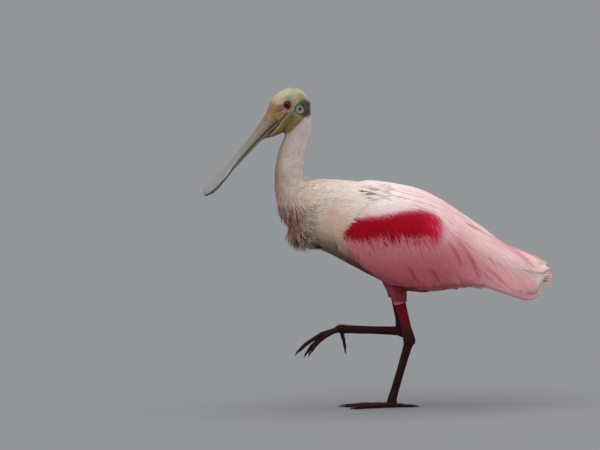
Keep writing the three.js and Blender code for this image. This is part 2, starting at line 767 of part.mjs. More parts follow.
// The lifted foot: toes bunched, hanging forward and down from the end of the level tarsus.
const HANG = {
  inner: { spread: -7, from: -14, to: -58 },
  middle: { spread: 1, from: -8, to: -46 },
  outer: { spread: 9, from: -14, to: -56 },
  hind: { spread: -3, from: -112, to: -92 },
};
function liftedFoot(foot) {
  const claws = {};
  const rooms = [];
  const pieces = Object.entries(TOES).map(([name, { length, thick }]) => {
    const { spread: fan, from, to } = HANG[name];
    const step = length / (TOE_STEPS - 1);
    const heading = (t) => {
      const [pitch, yaw] = [lerp(from, to, t) * RAD, fan * RAD];
      return new THREE.Vector3(-Math.cos(pitch) * Math.cos(yaw), Math.cos(pitch) * Math.sin(yaw), Math.sin(pitch));
    };
    const rise = (t) => {
      const pitch = (lerp(from, to, t) + 90) * RAD;
      return new THREE.Vector3(-Math.cos(pitch), 0, Math.sin(pitch));
    };
    const points = [foot.clone().addScaledVector(rise(0), -thick * 0.5)];
    points[0].y += fan * 0.45;
    for (let i = 1; i < TOE_STEPS; i++)
      points.push(points[i - 1].clone().addScaledVector(heading((i - 0.5) / (TOE_STEPS - 1)), step));
    const ups = points.map((_, i) => rise(i / (TOE_STEPS - 1)));
    const end = points[TOE_STEPS - 1];
    const along = end.clone().sub(points[TOE_STEPS - 2]).normalize();
    const up = ups[TOE_STEPS - 1].clone().addScaledVector(along, -ups[TOE_STEPS - 1].dot(along)).normalize();
    claws[name] = claw(end, along, up, thick);
    if (name === "hind")
      rooms.push(toe(points.map((point, i) => point.clone().addScaledVector(ups[i], -2 * GAP)), ups, thick + 4 * GAP));
    return toe(points, ups, thick);
  });
  const palm = (grow) => {
    const ball = new THREE.SphereGeometry(1, 12, 8);
    ball.scale(8.6 + grow, 8.4 + grow, 7 + grow);
    ball.translate(...foot.toArray());
    return solidOf(ball);
  };
  return { foot: join([palm(0), ...pieces]), room: join([palm(GAP), ...rooms]), claws };
}

// Assembly

const bird = new THREE.Group();
bird.name = "roseate_spoonbill";

const torsoRoom = torsoBody(GAP);
bird.add(meshOf("torso", torso, "back"));

const headGroup = new THREE.Group();
headGroup.applyMatrix4(headFrame);
bird.add(headGroup);
const lower = lowerBill();
const eyeRoom = eyeball(GAP).translate(EYE_AT.toArray());
const skullWhole = join([skull(), ...lids(), ...lids().map(mirrored), earRing(), mirrored(earRing())]);
const headSolid = skullWhole
  .subtract(join([eyeRoom, mirrored(eyeRoom), earSlit(), mirrored(earSlit())]))
  .subtract(lowerBill(GAP));
const headRoom = join([skull(GAP), ...lids(), ...lids().map(mirrored), earRing(), mirrored(earRing())]);
headGroup.add(meshOf("head", headSolid, "face"));
headGroup.add(
  meshOf("bill_upper", upperBill().subtract(headRoom).subtract(join([nostril(1), nostril(-1)])), "bill"),
);
headGroup.add(meshOf("bill_lower", lower.subtract(trunkLoft(SKULL, { sections: 9, around: 12, grow: -6 })), "bill"));
const pouch = trunkLoft(POUCH, { sections: 8, around: 14 });
headGroup.add(meshOf("throat_pouch", pouch.subtract(join([headRoom, lowerBill(GAP)])), "pouch"));
for (const [name, side] of [
  ["eye_left", 1],
  ["eye_right", -1],
]) {
  const eye = meshOf(name, eyeball(), "eye");
  eye.position.set(EYE_AT.x, EYE_AT.y * side, EYE_AT.z);
  headGroup.add(eye);
}

const headInPlace = join([headRoom, trunkLoft(POUCH, { sections: 8, around: 14, grow: GAP })]).transform(
  headFrame.toArray(),
);
["neck_upper", "neck_middle", "neck_lower"].forEach((name, i) => {
  const away = [headInPlace, torsoRoom];
  if (i > 0) away.push(neckBlock(NECK_CUTS[i - 1], -1));
  if (i < NECK_CUTS.length) away.push(neckBlock(NECK_CUTS[i], 1));
  bird.add(meshOf(name, neckWhole().subtract(join(away)), "neck"));
});

const legs = [
  { side: "left", hip: new THREE.Vector3(-4, -25, 246), ankle: LEFT_ANKLE, foot: LEFT_FOOT, standing: true },
  { side: "right", hip: new THREE.Vector3(-8, 25, 250), ankle: RIGHT_ANKLE, foot: RIGHT_FOOT, standing: false },
];
const thighRooms = [];
for (const { side, hip, ankle, foot, standing } of legs) {
  const cuff = hip.clone().lerp(ankle, 1 - SLEEVE_END * 1.25);
  thighRooms.push(thigh(hip, cuff, GAP));
  bird.add(meshOf(`thigh_${side}`, thigh(hip, cuff).subtract(torsoRoom), "thigh"));
  const downLeg = ankle.clone().sub(cuff).normalize();
  const shinTop = cuff.clone().addScaledVector(downLeg, GAP);
  bird.add(meshOf(`shin_${side}`, join([shin(shinTop, ankle), knob(ankle)]), "leg"));
  const made = standing ? standingFoot(foot, 1) : liftedFoot(foot);
  const shank = tarsus(ankle, foot).subtract(join([knob(ankle, GAP), shin(shinTop, ankle, GAP)]));
  bird.add(meshOf(`tarsus_${side}`, shank.subtract(made.room), "leg"));
  bird.add(meshOf(`foot_${side}`, made.foot, "foot"));
  for (const [toeName, solid] of Object.entries(made.claws))
    bird.add(meshOf(`claw_${side}_${toeName}`, solid, "claw"));
}

const tailSolid = tail().subtract(torsoRoom);
const wingSolid = mirrored(wing());
const wingRooms = join([torsoRoom, ...thighRooms]);
bird.add(meshOf("tail", tailSolid, "tail"));
bird.add(meshOf("wing_left", wingSolid.subtract(wingRooms), "wing"));
bird.add(meshOf("wing_right", mirrored(wingSolid).subtract(wingRooms), "wing"));

export default bird;
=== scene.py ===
"""The looks of a life-size roseate spoonbill, built round its solids: skin, feathers, bill, eyes and legs.

Lengths in this file are millimetres in the bird's own frame (-X is forward, -Y its left, +Z up)
and are turned into metres when a mesh is made. Materials, settings and the stage are in metres.
"""

import functools
import math

import bpy
import numpy as np
from bpy.props import FloatProperty, FloatVectorProperty, IntProperty, PointerProperty
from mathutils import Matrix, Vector
from mathutils.bvhtree import BVHTree


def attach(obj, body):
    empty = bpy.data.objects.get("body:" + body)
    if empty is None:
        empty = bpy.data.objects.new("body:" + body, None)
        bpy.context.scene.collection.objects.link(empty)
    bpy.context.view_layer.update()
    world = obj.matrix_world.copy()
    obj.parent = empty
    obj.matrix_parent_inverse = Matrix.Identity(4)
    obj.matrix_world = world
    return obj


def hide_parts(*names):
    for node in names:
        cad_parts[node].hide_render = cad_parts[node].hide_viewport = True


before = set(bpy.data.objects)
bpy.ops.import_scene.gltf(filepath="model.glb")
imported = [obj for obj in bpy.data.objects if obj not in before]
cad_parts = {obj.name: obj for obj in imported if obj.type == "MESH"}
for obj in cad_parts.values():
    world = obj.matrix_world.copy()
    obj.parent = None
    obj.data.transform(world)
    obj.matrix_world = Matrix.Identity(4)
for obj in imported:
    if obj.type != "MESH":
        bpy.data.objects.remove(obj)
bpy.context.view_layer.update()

bl_info = {
    "name": "Roseate spoonbill",
    "version": (1, 0, 0),
    "blender": (4, 5, 0),
    "location": "3D View > Sidebar > Spoonbill",
    "description": "Builds the skin, plumage, bill, eyes and legs of a roseate spoonbill",
    "category": "Object",
}

MM = 0.001
BODY = "root"
SEED = 20


# Colours


def linear(colour):
    """An sRGB colour, 0 to 255, as linear light."""
    c = np.asarray(colour, float) / 255.0
    return np.where(c <= 0.04045, c / 12.92, ((c + 0.055) / 1.055) ** 2.4)


WHITE = linear((250, 236, 230))
CREAM = linear((236, 214, 194))
NECK = linear((226, 208, 198))
TAWNY = linear((176, 150, 132))
BLUSH = linear((248, 214, 214))
PINK = linear((226, 146, 156))
ROSE = linear((206, 106, 120))
DEEP_ROSE = linear((150, 48, 62))
CARMINE = linear((168, 0, 26))
BRIGHT_CARMINE = linear((206, 22, 62))
# deep red of the belly with painted shade in it, also the painted shade on the thighs' far side
DEEP_RED_IN_SHADE = linear((96, 34, 42))
SHADOW_CREAM = linear((104, 80, 68))
REAR_PINK = linear((250, 178, 184))
APRICOT = linear((240, 196, 172))
SALMON = linear((226, 162, 150))
BEARD = linear((168, 138, 116))
BEARD_RED = linear((176, 48, 66))
BUFF_SKIN = linear((168, 158, 116))
GREEN_SKIN = linear((166, 172, 130))
CROWN_SKIN = linear((222, 210, 168))
ORANGE_SKIN = linear((186, 134, 80))
BAND = linear((44, 42, 40))
OLIVE = linear((136, 110, 58))
EAR_PALE = linear((196, 188, 168))
LID_PINK = linear((196, 110, 84))
HORN = linear((172, 160, 138))
HORN_WARM = linear((176, 146, 112))
HORN_GREY = linear((166, 168, 162))
# dark horn, also used as painted shade in the face's creases, the nostril, the groove and along the mouth
# line
DARK_HORN_AND_SHADE = linear((66, 44, 28))
LEG_RED = linear((132, 10, 26))
LEG_DARK = linear((52, 18, 20))
THIGH_PINK = linear((196, 92, 96))


def mix(a, b, t):
    """Colours a and b mixed by a share for each point."""
    t = np.clip(np.asarray(t, float), 0, 1)[..., None]
    return a * (1 - t) + b * t


def smooth(low, high, x):
    """0 below low, 1 above high, with a soft step between."""
    t = np.clip((x - low) / (high - low), 0, 1)
    return t * t * (3 - 2 * t)


def hill(x, middle, half):
    """1 at the middle, falling softly to 0 at half either side."""
    return smooth(0, 1, 1 - np.abs(x - middle) / half)


def unit(vectors):
    """Vectors made one long."""
    return vectors / np.maximum(np.linalg.norm(vectors, axis=-1), 1e-6)[..., None]


def along_surface(aim, normal):
    """Directions turned to lie in the surface that the normals stand on."""
    return unit(aim - normal * (aim * normal).sum(axis=1)[:, None])


# Noise: a few waves with fixed random directions, cheap and smooth


WAVE_COUNT = 9


def waves(points, size, seed):
    """Smooth noise from about -1 to 1 over points, with features about size millimetres wide."""
    rng = np.random.default_rng(seed)
    aims = unit(rng.normal(size=(WAVE_COUNT, 3)))
    pace = 2 * math.pi / size * rng.uniform(0.6, 1.5, WAVE_COUNT)
    phase = rng.uniform(0, 2 * math.pi, WAVE_COUNT)
    total = np.sin(points @ (aims * pace[:, None]).T + phase).sum(axis=1)
    return total / (WAVE_COUNT * 0.55)


# Tables read as smooth curves


def read(rows, position):
    """Rows of [position, value, ...] read at many positions at once."""
    rows = np.asarray(rows, float)
    p = np.clip(np.asarray(position, float), rows[0, 0], rows[-1, 0])
    i = np.clip(np.searchsorted(rows[:, 0], p, side="right") - 1, 0, len(rows) - 2)
    last = len(rows) - 1
    a, b = rows[i], rows[i + 1]
    before, after = rows[np.maximum(i - 1, 0)], rows[np.minimum(i + 2, last)]
    span = (b[..., :1] - a[..., :1])
    t = (p[..., None] - a[..., :1]) / span
    leave = (b - before) / (b[..., :1] - before[..., :1]) * span
    arrive = (after - a) / (after[..., :1] - a[..., :1]) * span
    t2, t3 = t * t, t * t * t
    out = (2 * t3 - 3 * t2 + 1) * a + (t3 - 2 * t2 + t) * leave
    out = out + (3 * t2 - 2 * t3) * b + (t3 - t2) * arrive
    return out[..., 1:]


# Main sizes of the bird, the same as those of its solids

SECTION_POWER = 2.3
HEAD_AT = np.array([-173.5, 0.0, 486.0])
HEAD_DOWN = math.radians(47.6)
HEAD_TURN = math.radians(21)
EYE_AT = np.array([0.0, 14.3, 0.0])
EYE_RADIUS = 7.5
EAR_AT = np.array([-8.0, 20.4, -19.0])

# Wing envelope: x, top, widest height, bottom, half width.
ENVELOPE = [
    [-99, 362, 300, 225, 50],
    [-75, 363, 299, 215, 59],
    [-51, 361, 295, 200, 64],
    [-19, 358, 287, 182, 67],
    [13, 353, 277, 166, 67],
    [45, 345, 266, 158, 65],
    [77, 329, 256, 158, 61],
    [109, 308, 247, 160, 56],
    [141, 286, 238, 160, 50],
    [173, 266, 230, 156, 44],
    [205, 250, 221, 146, 38],
    [237, 237, 213, 144, 33],
    [270, 222, 206, 144, 29],
]
# Dome of the folded arm: its middle, half length, half height and how far it stands out.
ARM = {"x": -2.0, "z": 284.0, "long": 88.0, "high": 60.0, "rise": 8.5}
# Middle line of the neck: distance down it, x, z.
NECK_LINE = [
    [-16, -160, 489],
    [8, -147, 474.5],
    [38, -148, 445],
    [71, -158, 413],
    [104, -164.5, 381],
    [142, -156.5, 344],
    [186, -126, 312],
]


def head_axes():
    """Rows are the head's forward, left and up directions."""
    level = math.cos(HEAD_DOWN)
    forward = np.array([-level * math.cos(HEAD_TURN), -level * math.sin(HEAD_TURN), -math.sin(HEAD_DOWN)])
    left = np.array([math.sin(HEAD_TURN), -math.cos(HEAD_TURN), 0])
    return np.array([forward, left, np.cross(forward, left)])


HEAD_AXES = head_axes()


def to_head(points):
    """Points of the bird's frame in the head's own frame."""
    return (np.asarray(points) - HEAD_AT) @ HEAD_AXES.T


def from_head(points):
    """Points of the head's own frame in the bird's frame."""
    return np.asarray(points) @ HEAD_AXES + HEAD_AT


# Settings that a user would change


class BirdSettings(bpy.types.PropertyGroup):
    """Sizes and colours of the spoonbill."""

    coat_depth: FloatProperty(
        name="Coat depth",
        description="How far the skin lies under the feathers' outline",
        default=0.0045,
        unit="LENGTH",
    )
    skin_voxel: FloatProperty(
        name="Skin detail",
        description="Edge length of the skin's mesh",
        default=0.0019,
        unit="LENGTH",
    )
    neck_tufts: IntProperty(
        name="Neck tufts",
        description="Number of fine tufts on the neck",
        default=12000,
    )
    body_tufts: IntProperty(
        name="Body tufts",
        description="Number of contour feathers in each of the body's two layers",
        default=12000,
    )
    wing_tufts: IntProperty(
        name="Wing tufts",
        description="Number of soft coverts on each wing",
        default=11500,
    )
    iris: FloatVectorProperty(
        name="Iris",
        description="Colour of the iris",
        default=(0.20, 0.008, 0.003),
        size=3,
        subtype="COLOR",
    )
    floor_colour: FloatVectorProperty(
        name="Floor",
        description="Colour of the studio floor",
        default=(0.272, 0.283, 0.293),
        size=3,
        subtype="COLOR",
    )


def settings():
    """The bird's settings in this scene."""
    return bpy.context.scene.spoonbill


# Mesh making


def add_mesh(name, points, faces, material):
    """A mesh object from millimetre points and faces, riding on the bird."""
    mesh = bpy.data.meshes.new(name)
    mesh.from_pydata((np.asarray(points) * MM).tolist(), [], faces)
    return finish_mesh(name, mesh, material)


def add_triangles(name, points, triangles, material):
    """A mesh object from arrays of millimetre points and triangles, made quickly."""
    mesh = bpy.data.meshes.new(name)
    points = np.asarray(points, np.float32) * MM
    triangles = np.asarray(triangles, np.int32)
    mesh.vertices.add(len(points))
    mesh.vertices.foreach_set("co", points.ravel())
    mesh.loops.add(triangles.size)
    mesh.loops.foreach_set("vertex_index", triangles.ravel())
    mesh.polygons.add(len(triangles))
    mesh.polygons.foreach_set("loop_start", np.arange(0, triangles.size, 3, dtype=np.int32))
    mesh.polygons.foreach_set("loop_total", np.full(len(triangles), 3, np.int32))
    mesh.update(calc_edges=True)
    return finish_mesh(name, mesh, material)


def finish_mesh(name, mesh, material):
    """Puts a mesh in the scene as a smooth piece that rides on the bird."""
    mesh.validate()
    piece = bpy.data.objects.new(name, mesh)
    bpy.context.scene.collection.objects.link(piece)
    mesh.polygons.foreach_set("use_smooth", np.ones(len(mesh.polygons), bool))
    mesh.materials.append(material)
    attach(piece, BODY)
    return piece


def paint(piece, name, colours):
    """Stores a colour for each vertex."""
    attribute = piece.data.color_attributes.new(name, "FLOAT_COLOR", "POINT")
    values = np.ones((len(piece.data.vertices), 4), np.float32)
    values[:, :3] = np.clip(colours, 0, 1)
    attribute.data.foreach_set("color", values.ravel())


def move_vertices(piece, points):
    """Moves a piece's vertices to places in millimetres and shades it smooth."""
    piece.data.vertices.foreach_set("co", (points * MM).astype(np.float32).ravel())
    piece.data.polygons.foreach_set("use_smooth", np.ones(len(piece.data.polygons), bool))
    piece.data.update()


def triangle_corners(piece):
    """The three vertices of each of a piece's triangles."""
    piece.data.calc_loop_triangles()
    corners = np.empty(len(piece.data.loop_triangles) * 3, np.int32)
    piece.data.loop_triangles.foreach_get("vertices", corners)
    return corners.reshape(-1, 3)


def loop_vertices(piece):
    """The vertex of each of a piece's face corners."""
    corners = np.empty(len(piece.data.loops), np.int32)
    piece.data.loops.foreach_get("vertex_index", corners)
    return corners


def vertex_points(piece):
    """A piece's vertices in millimetres."""
    co = np.empty(len(piece.data.vertices) * 3, np.float32)
    piece.data.vertices.foreach_get("co", co)
    return co.reshape(-1, 3).astype(float) / MM


def vertex_normals(piece):
    """The surface's direction at each of a piece's vertices."""
    normals = np.empty(len(piece.data.vertices) * 3, np.float32)
    piece.data.vertex_normals.foreach_get("vector", normals)
    return normals.reshape(-1, 3).astype(float)


# Materials


def material(name, roughness, sheen=0.0, specular=0.5, scatter=0.0):
    """A new material with its main constants, ready for its colour and bump nodes."""
    made = bpy.data.materials.new(name)
    made.use_nodes = True
    shader = made.node_tree.nodes["Principled BSDF"]
    shader.inputs["Roughness"].default_value = roughness
    shader.inputs["Specular IOR Level"].default_value = specular
    shader.inputs["Sheen Weight"].default_value = sheen
    shader.inputs["Sheen Roughness"].default_value = 0.5
    if scatter:
        shader.inputs["Subsurface Weight"].default_value = scatter
        shader.inputs["Subsurface Radius"].default_value = (0.004, 0.0018, 0.0012)
        shader.inputs["Subsurface Scale"].default_value = 1.0
    return made


def node(made, kind, **inputs):
    """A node of a material, with some of its sockets set."""
    new = made.node_tree.nodes.new(kind)
    for key, value in inputs.items():
        new.inputs[key.replace("_", " ")].default_value = value
    return new


def link(made, source, target):
    """Joins two sockets of a material."""
    made.node_tree.links.new(source, target)


def tint_nodes(made, grain_size, grain):
    """Colours a material by the vertices' "Tint" times a fine noise; returns the noise and its mapping."""
    tint = made.node_tree.nodes.new("ShaderNodeVertexColor")
    tint.layer_name = "Tint"
    place = made.node_tree.nodes.new("ShaderNodeTexCoord")
    mapping = made.node_tree.nodes.new("ShaderNodeMapping")
    link(made, place.outputs["Object"], mapping.inputs["Vector"])
    noise = node(made, "ShaderNodeTexNoise", Scale=1 / grain_size, Detail=4.0, Roughness=0.6)
    link(made, mapping.outputs["Vector"], noise.inputs["Vector"])
    ramp = made.node_tree.nodes.new("ShaderNodeMapRange")
    ramp.inputs["To Min"].default_value = 1 - grain
    ramp.inputs["To Max"].default_value = 1 + grain
    link(made, noise.outputs["Fac"], ramp.inputs["Value"])
    scale = made.node_tree.nodes.new("ShaderNodeVectorMath")
    scale.operation = "SCALE"
    link(made, tint.outputs["Color"], scale.inputs[0])
    link(made, ramp.outputs["Result"], scale.inputs["Scale"])
    shader = made.node_tree.nodes["Principled BSDF"]
    link(made, scale.outputs["Vector"], shader.inputs["Base Color"])
    return noise, mapping


def bump(made, height, distance, strength=1.0, previous=None):
    """Adds a bump from a height socket; returns its normal socket."""
    raised = node(made, "ShaderNodeBump", Distance=distance, Strength=strength)
    link(made, height, raised.inputs["Height"])
    if previous is not None:
        link(made, previous, raised.inputs["Normal"])
    shader = made.node_tree.nodes["Principled BSDF"]
    link(made, raised.outputs["Normal"], shader.inputs["Normal"])
    return raised.outputs["Normal"]


def plumage_material():
    """Soft matt feather with a faint sheen."""
    made = material("plumage", 0.82, sheen=0.08, specular=0.12)
    noise, _ = tint_nodes(made, 0.0035, 0.10)
    bump(made, noise.outputs["Fac"], 0.0003, 0.3)
    return made


def vane_material():
    """A flight feather: barbs run out from the shaft as fine lines."""
    made = material("vane", 0.66, sheen=0.08, specular=0.2)
    tint_nodes(made, 0.004, 0.06)
    barb_map = made.node_tree.nodes.new("ShaderNodeUVMap")
    barb_map.uv_map = "Barbs"
    wave = node(made, "ShaderNodeTexWave", Scale=1.0, Distortion=1.2, Detail=2.0, Detail_Scale=1.5)
    wave.bands_direction = "X"
    link(made, barb_map.outputs["UV"], wave.inputs["Vector"])
    bump(made, wave.outputs["Fac"], 0.00025, 0.35)
    return made


def skin_material():
    """Bare and feathered skin: fine wrinkles and pores."""
    made = material("skin", 0.52, specular=0.4, scatter=0.12)
    noise, mapping = tint_nodes(made, 0.0022, 0.13)
    cells = node(made, "ShaderNodeTexVoronoi", Scale=620.0)
    link(made, mapping.outputs["Vector"], cells.inputs["Vector"])
    first = bump(made, noise.outputs["Fac"], 0.0006, 0.6)
    bump(made, cells.outputs["Distance"], 0.0004, 0.45, first)
    return made


def horn_material():
    """Bill horn: slightly mottled and lightly polished."""
    made = material("horn", 0.38, specular=0.45, scatter=0.08)
    noise, mapping = tint_nodes(made, 0.006, 0.12)
    fine = node(made, "ShaderNodeTexNoise", Scale=420.0, Detail=5.0, Roughness=0.7)
    link(made, mapping.outputs["Vector"], fine.inputs["Vector"])
    first = bump(made, noise.outputs["Fac"], 0.0012, 0.35)
    bump(made, fine.outputs["Fac"], 0.0003, 0.5, first)
    return made


def scale_material():
    """Leg skin: small plates with dark joints between them."""
    made = material("leg_scales", 0.55, specular=0.15)
    noise, mapping = tint_nodes(made, 0.003, 0.16)
    cells = node(made, "ShaderNodeTexVoronoi", Scale=330.0)
    cells.feature = "DISTANCE_TO_EDGE"
    link(made, mapping.outputs["Vector"], cells.inputs["Vector"])
    edge = made.node_tree.nodes.new("ShaderNodeMapRange")
    edge.inputs["From Max"].default_value = 0.12
    link(made, cells.outputs["Distance"], edge.inputs["Value"])
    first = bump(made, edge.outputs["Result"], 0.0005, 0.8)
    bump(made, noise.outputs["Fac"], 0.0004, 0.4, first)
    return made


def claw_material():
    """Claw: smooth dark horn."""
    made = material("claw", 0.3, specular=0.5)
    tint_nodes(made, 0.004, 0.12)
    return made


def made_once(name, maker):
    """The material of that name, made the first time that it is asked for."""
    return bpy.data.materials.get(name) or maker()


# Markings: the colour of the coat and of the skin at a place


def neck_distance(points):
    """How far down the neck each point is, and which way the neck runs there."""
    stations = np.linspace(NECK_LINE[0][0], NECK_LINE[-1][0], 60)
    line = read(NECK_LINE, stations)
    middles = np.stack([line[:, 0], np.zeros(len(line)), line[:, 1]], axis=1)
    gap = ((points[:, None, :] - middles[None, :, :]) ** 2).sum(axis=2)
    nearest = gap.argmin(axis=1)
    run = unit(np.gradient(middles, axis=0))
    return stations[nearest], run[nearest]


def coat_colour(points):
    """The plumage's colour on the body, neck and thighs."""
    x, y, z = points.T
    side = np.abs(y)
    down, _ = neck_distance(points)
    ahead = read(NECK_LINE, down)[:, 0] - x
    colour = np.tile(NECK, (len(points), 1))
    # neck: tawny along the front, whiter at the nape and shoulder
    colour = mix(colour, TAWNY, 0.75 * smooth(2, 22, ahead) * smooth(318, 380, z))
    colour = mix(colour, WHITE, 0.6 * smooth(4, -16, ahead) * smooth(330, 360, z))
    # shoulders cream, then white over the back
    colour = mix(colour, CREAM, smooth(-165, -125, x) * smooth(390, 350, z))
    colour = mix(colour, WHITE, smooth(-146, -105, x) * smooth(290, 322, z))
    # back turning pink towards the tail
    colour = mix(colour, BLUSH, smooth(-70, 0, x) * 0.9)
    colour = mix(colour, PINK, smooth(30, 120, x) * 0.8)
    # flank and belly: painted shade under the wing, then the belly's deep red, darkened further as painted
    # shade
    low = smooth(300, 252, z + 0.22 * (x + 110)) * smooth(-150, -112, x)
    colour = mix(colour, SHADOW_CREAM, 0.8 * low)
    colour = mix(colour, DEEP_ROSE, 0.85 * smooth(246, 214, z + 0.35 * (x + 40)) * smooth(-104, -60, x))
    colour = mix(colour, DEEP_RED_IN_SHADE, 0.85 * smooth(222, 190, z) * smooth(-60, 0, x))
    # warm stain beside the shoulder
    stain = hill(x, -96, 24) * hill(z, 312, 40) * smooth(20, 45, side)
    colour = mix(colour, APRICOT, 0.5 * stain)
    warm = smooth(-20, -90, x) * smooth(400, 370, z)
    colour = colour * (1 - warm[:, None] * np.array([0.12, 0.18, 0.24]))
    # breast tuft: brown, with red wisps towards the front
    tuft = smooth(-124, -150, x) * smooth(330, 296, z)
    colour = mix(colour, BEARD, 0.75 * tuft)
    wisp = smooth(-0.1, 0.5, waves(points, 10, 4)) * smooth(-136, -152, x) * smooth(338, 312, z)
    colour = mix(colour, BEARD_RED, 0.8 * wisp)
    h = to_head(points)
    colour = mix(colour, CROWN_SKIN, 0.85 * smooth(-35, -31, h[:, 0]) * smooth(-12, -6, h[:, 2]))
    # the black band of the head runs on into the first feathers of the nape
    colour = mix(colour, band_colour(points), 0.96 * band_share(points) * smooth(8, 13, np.abs(h[:, 1])))
    # under the tail
    colour = mix(colour, ROSE, smooth(90, 150, x) * smooth(232, 216, z))
    return colour * (1 + 0.04 * waves(points, 16, 12))[:, None]


def side_reach(points):
    """How far a point is from the middle of the head."""
    return np.linalg.norm(to_head(points) - np.array([-12, 0, -20]), axis=1)


# Middle of the black band, ahead and up in the head's own frame.
BAND_AT = (-13, -23)


def band_away(u, w):
    """Distance from the middle of the black band, seen from the side."""
    return np.hypot(u - BAND_AT[0], w - BAND_AT[1])


def band_share(points):
    """1 inside the black band behind and round the ear."""
    h = to_head(points)
    u, v, w = h[:, 0], np.abs(h[:, 1]), h[:, 2]
    ear = np.hypot(u - EAR_AT[0], w - EAR_AT[2])
    behind = smooth(17.0, 11.0, np.hypot(u + 14.5, w + 25)) * smooth(5, 11, v)
    limb = hill(ear, 7.6, 2.6) * smooth(6, 2, u) * smooth(8, 14, v)
    ragged = 1 - 0.3 * smooth(-0.1, 0.7, waves(points, 4.5, 23)) * smooth(8, 16, band_away(u, w))
    return np.clip(np.maximum(behind, limb) * ragged, 0, 1)


def band_colour(points):
    """Black beside the ear, greyer towards the nape."""
    h = to_head(points)
    away = band_away(h[:, 0], h[:, 2])
    return mix(np.tile(BAND, (len(points), 1)), NECK * 0.62, smooth(9, 19, away))


def thigh_colour(points):
    """Deep rose thighs, pinker in front, with painted shade on the far side and a pale edge at the cuff."""
    colour = np.tile(DEEP_ROSE, (len(points), 1))
    front = smooth(10, -8, points[:, 0])
    colour = mix(colour, THIGH_PINK, 0.75 * front + 0.3 * waves(points, 12, 31))
    # painted shade: darker on the far side, towards the bird's right
    colour = mix(colour, DEEP_RED_IN_SHADE, 0.6 * smooth(0, 20, points[:, 1]))
    return mix(colour, PINK, 0.7 * smooth(178, 172, points[:, 2]))


def above_gape(u, w):
    """Height over the mouth's line, which runs back from the bill."""
    return w + 9.2 + 0.10 * (u - 20)


def above_crease(u, w):
    """Height over the crease at the front corner of the eye."""
    return w - 0.22 * (u - 6) - 1


def face_colour(points):
    """The bare skin of the head, by places measured in the head's own frame."""
    u, _, w = to_head(points).T
    colour = np.tile(BUFF_SKIN, (len(points), 1))
    colour = mix(colour, CROWN_SKIN, smooth(2, 14, w) * smooth(24, 4, u))
    colour = mix(colour, GREEN_SKIN, 0.85 * smooth(22, 9, np.hypot(u + 3, w + 4)))
    colour = mix(colour, ORANGE_SKIN, 0.9 * smooth(21, 7, np.hypot(u - 22, (w - 9) * 0.9)))
    colour = mix(colour, ORANGE_SKIN, 0.45 * smooth(8, 20, u) * smooth(-14, -4, w))
    colour = mix(colour, OLIVE, smooth(-11, -20, w) * smooth(-4, 9, u))
    colour = mix(colour, CROWN_SKIN, 0.7 * smooth(-4, -22, u) * smooth(-8, 4, w))
    colour = mix(colour, HORN_WARM, 0.9 * smooth(20, 31, u) * smooth(-12, -6, w))
    fleck = smooth(0.15, 0.8, waves(points, 4.2, 22))
    colour = mix(colour, ORANGE_SKIN * 0.7, 0.6 * fleck * smooth(-2, 14, u))
    pale = smooth(0.3, 0.9, waves(points, 3.4, 24))
    colour = mix(colour, CROWN_SKIN, 0.45 * pale * smooth(-12, 0, w))
    colour = mix(colour, BAND, 0.95 * band_share(points))
    # pale ring of the ear, darker inside, with its slit painted dark as the shade of the opening
    turn = np.arctan2(w - EAR_AT[2], u - EAR_AT[0])
    uneven = 1 + 0.10 * np.sin(2 * turn + 0.8) + 0.05 * np.sin(5 * turn)
    ear = np.hypot(u - EAR_AT[0], w - EAR_AT[2]) * uneven
    colour = mix(colour, GREEN_SKIN * 0.45, smooth(6.2, 5.2, ear))
    colour = mix(colour, BAND * 1.4, smooth(4.6, 3.4, ear))
    colour = mix(colour, EAR_PALE * 0.95, hill(ear, 4.6, 1.5))
    colour = mix(colour, EAR_PALE, hill(ear, 2.6, 1.3) * smooth(0.3, 0.8, np.sin(turn + 2.4)))
    along = (u - EAR_AT[0]) * math.cos(0.7) - (w - EAR_AT[2]) * math.sin(0.7)
    across = (u - EAR_AT[0]) * math.sin(0.7) + (w - EAR_AT[2]) * math.cos(0.7)
    slit = smooth(1.15, 0.6, np.hypot(along / 3.6, across / 1.5))
    colour = mix(colour, BAND * 0.3, slit)
    # rim of the eye; painted shade in its corner's crease and along the gape line running back from the bill
    eye = np.hypot(u - EYE_AT[0], (w - EYE_AT[2]) * 1.05)
    colour = mix(colour, LID_PINK, 0.85 * hill(eye, 7.4, 2.4))
    colour = mix(colour, DARK_HORN_AND_SHADE, 0.7 * hill(above_crease(u, w), 0, 1.8) * hill(u, 14, 7.5))
    gape = hill(above_gape(u, w), 0, 2.0) * smooth(7, 11, u)
    colour = mix(colour, DARK_HORN_AND_SHADE * 0.5, 0.95 * gape)
    cheek = hill(w + 13.5 - 0.30 * u, 0, 1.6) * hill(u, 4, 9)
    colour = mix(colour, DARK_HORN_AND_SHADE, 0.45 * cheek)
    blotch = smooth(0.0, 0.9, waves(points, 7, 21))
    fine = smooth(0.0, 0.8, waves(points, 2.3, 25))
    shade = (0.84 + 0.18 * blotch + 0.10 * fine) * (1 - 0.22 * smooth(-3, 6, w))
    return colour * shade[:, None]


# Skin


def joined_copy(names, name):
    """One new object from copies of several solids."""
    copies = []
    for each in names:
        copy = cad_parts[each].copy()
        copy.data = copy.data.copy()
        copy.parent = None
        bpy.context.scene.collection.objects.link(copy)
        copies.append(copy)
    with bpy.context.temp_override(
        active_object=copies[0],
        object=copies[0],
        selected_objects=copies,
        selected_editable_objects=copies,
    ):
        bpy.ops.object.join()
    whole = copies[0]
    whole.name = name
    whole.data.materials.clear()
    return whole


def applied(piece):
    """Applies a piece's modifiers to its mesh."""
    graph = bpy.context.evaluated_depsgraph_get()
    new = bpy.data.meshes.new_from_object(piece.evaluated_get(graph))
    piece.modifiers.clear()
    piece.data = new


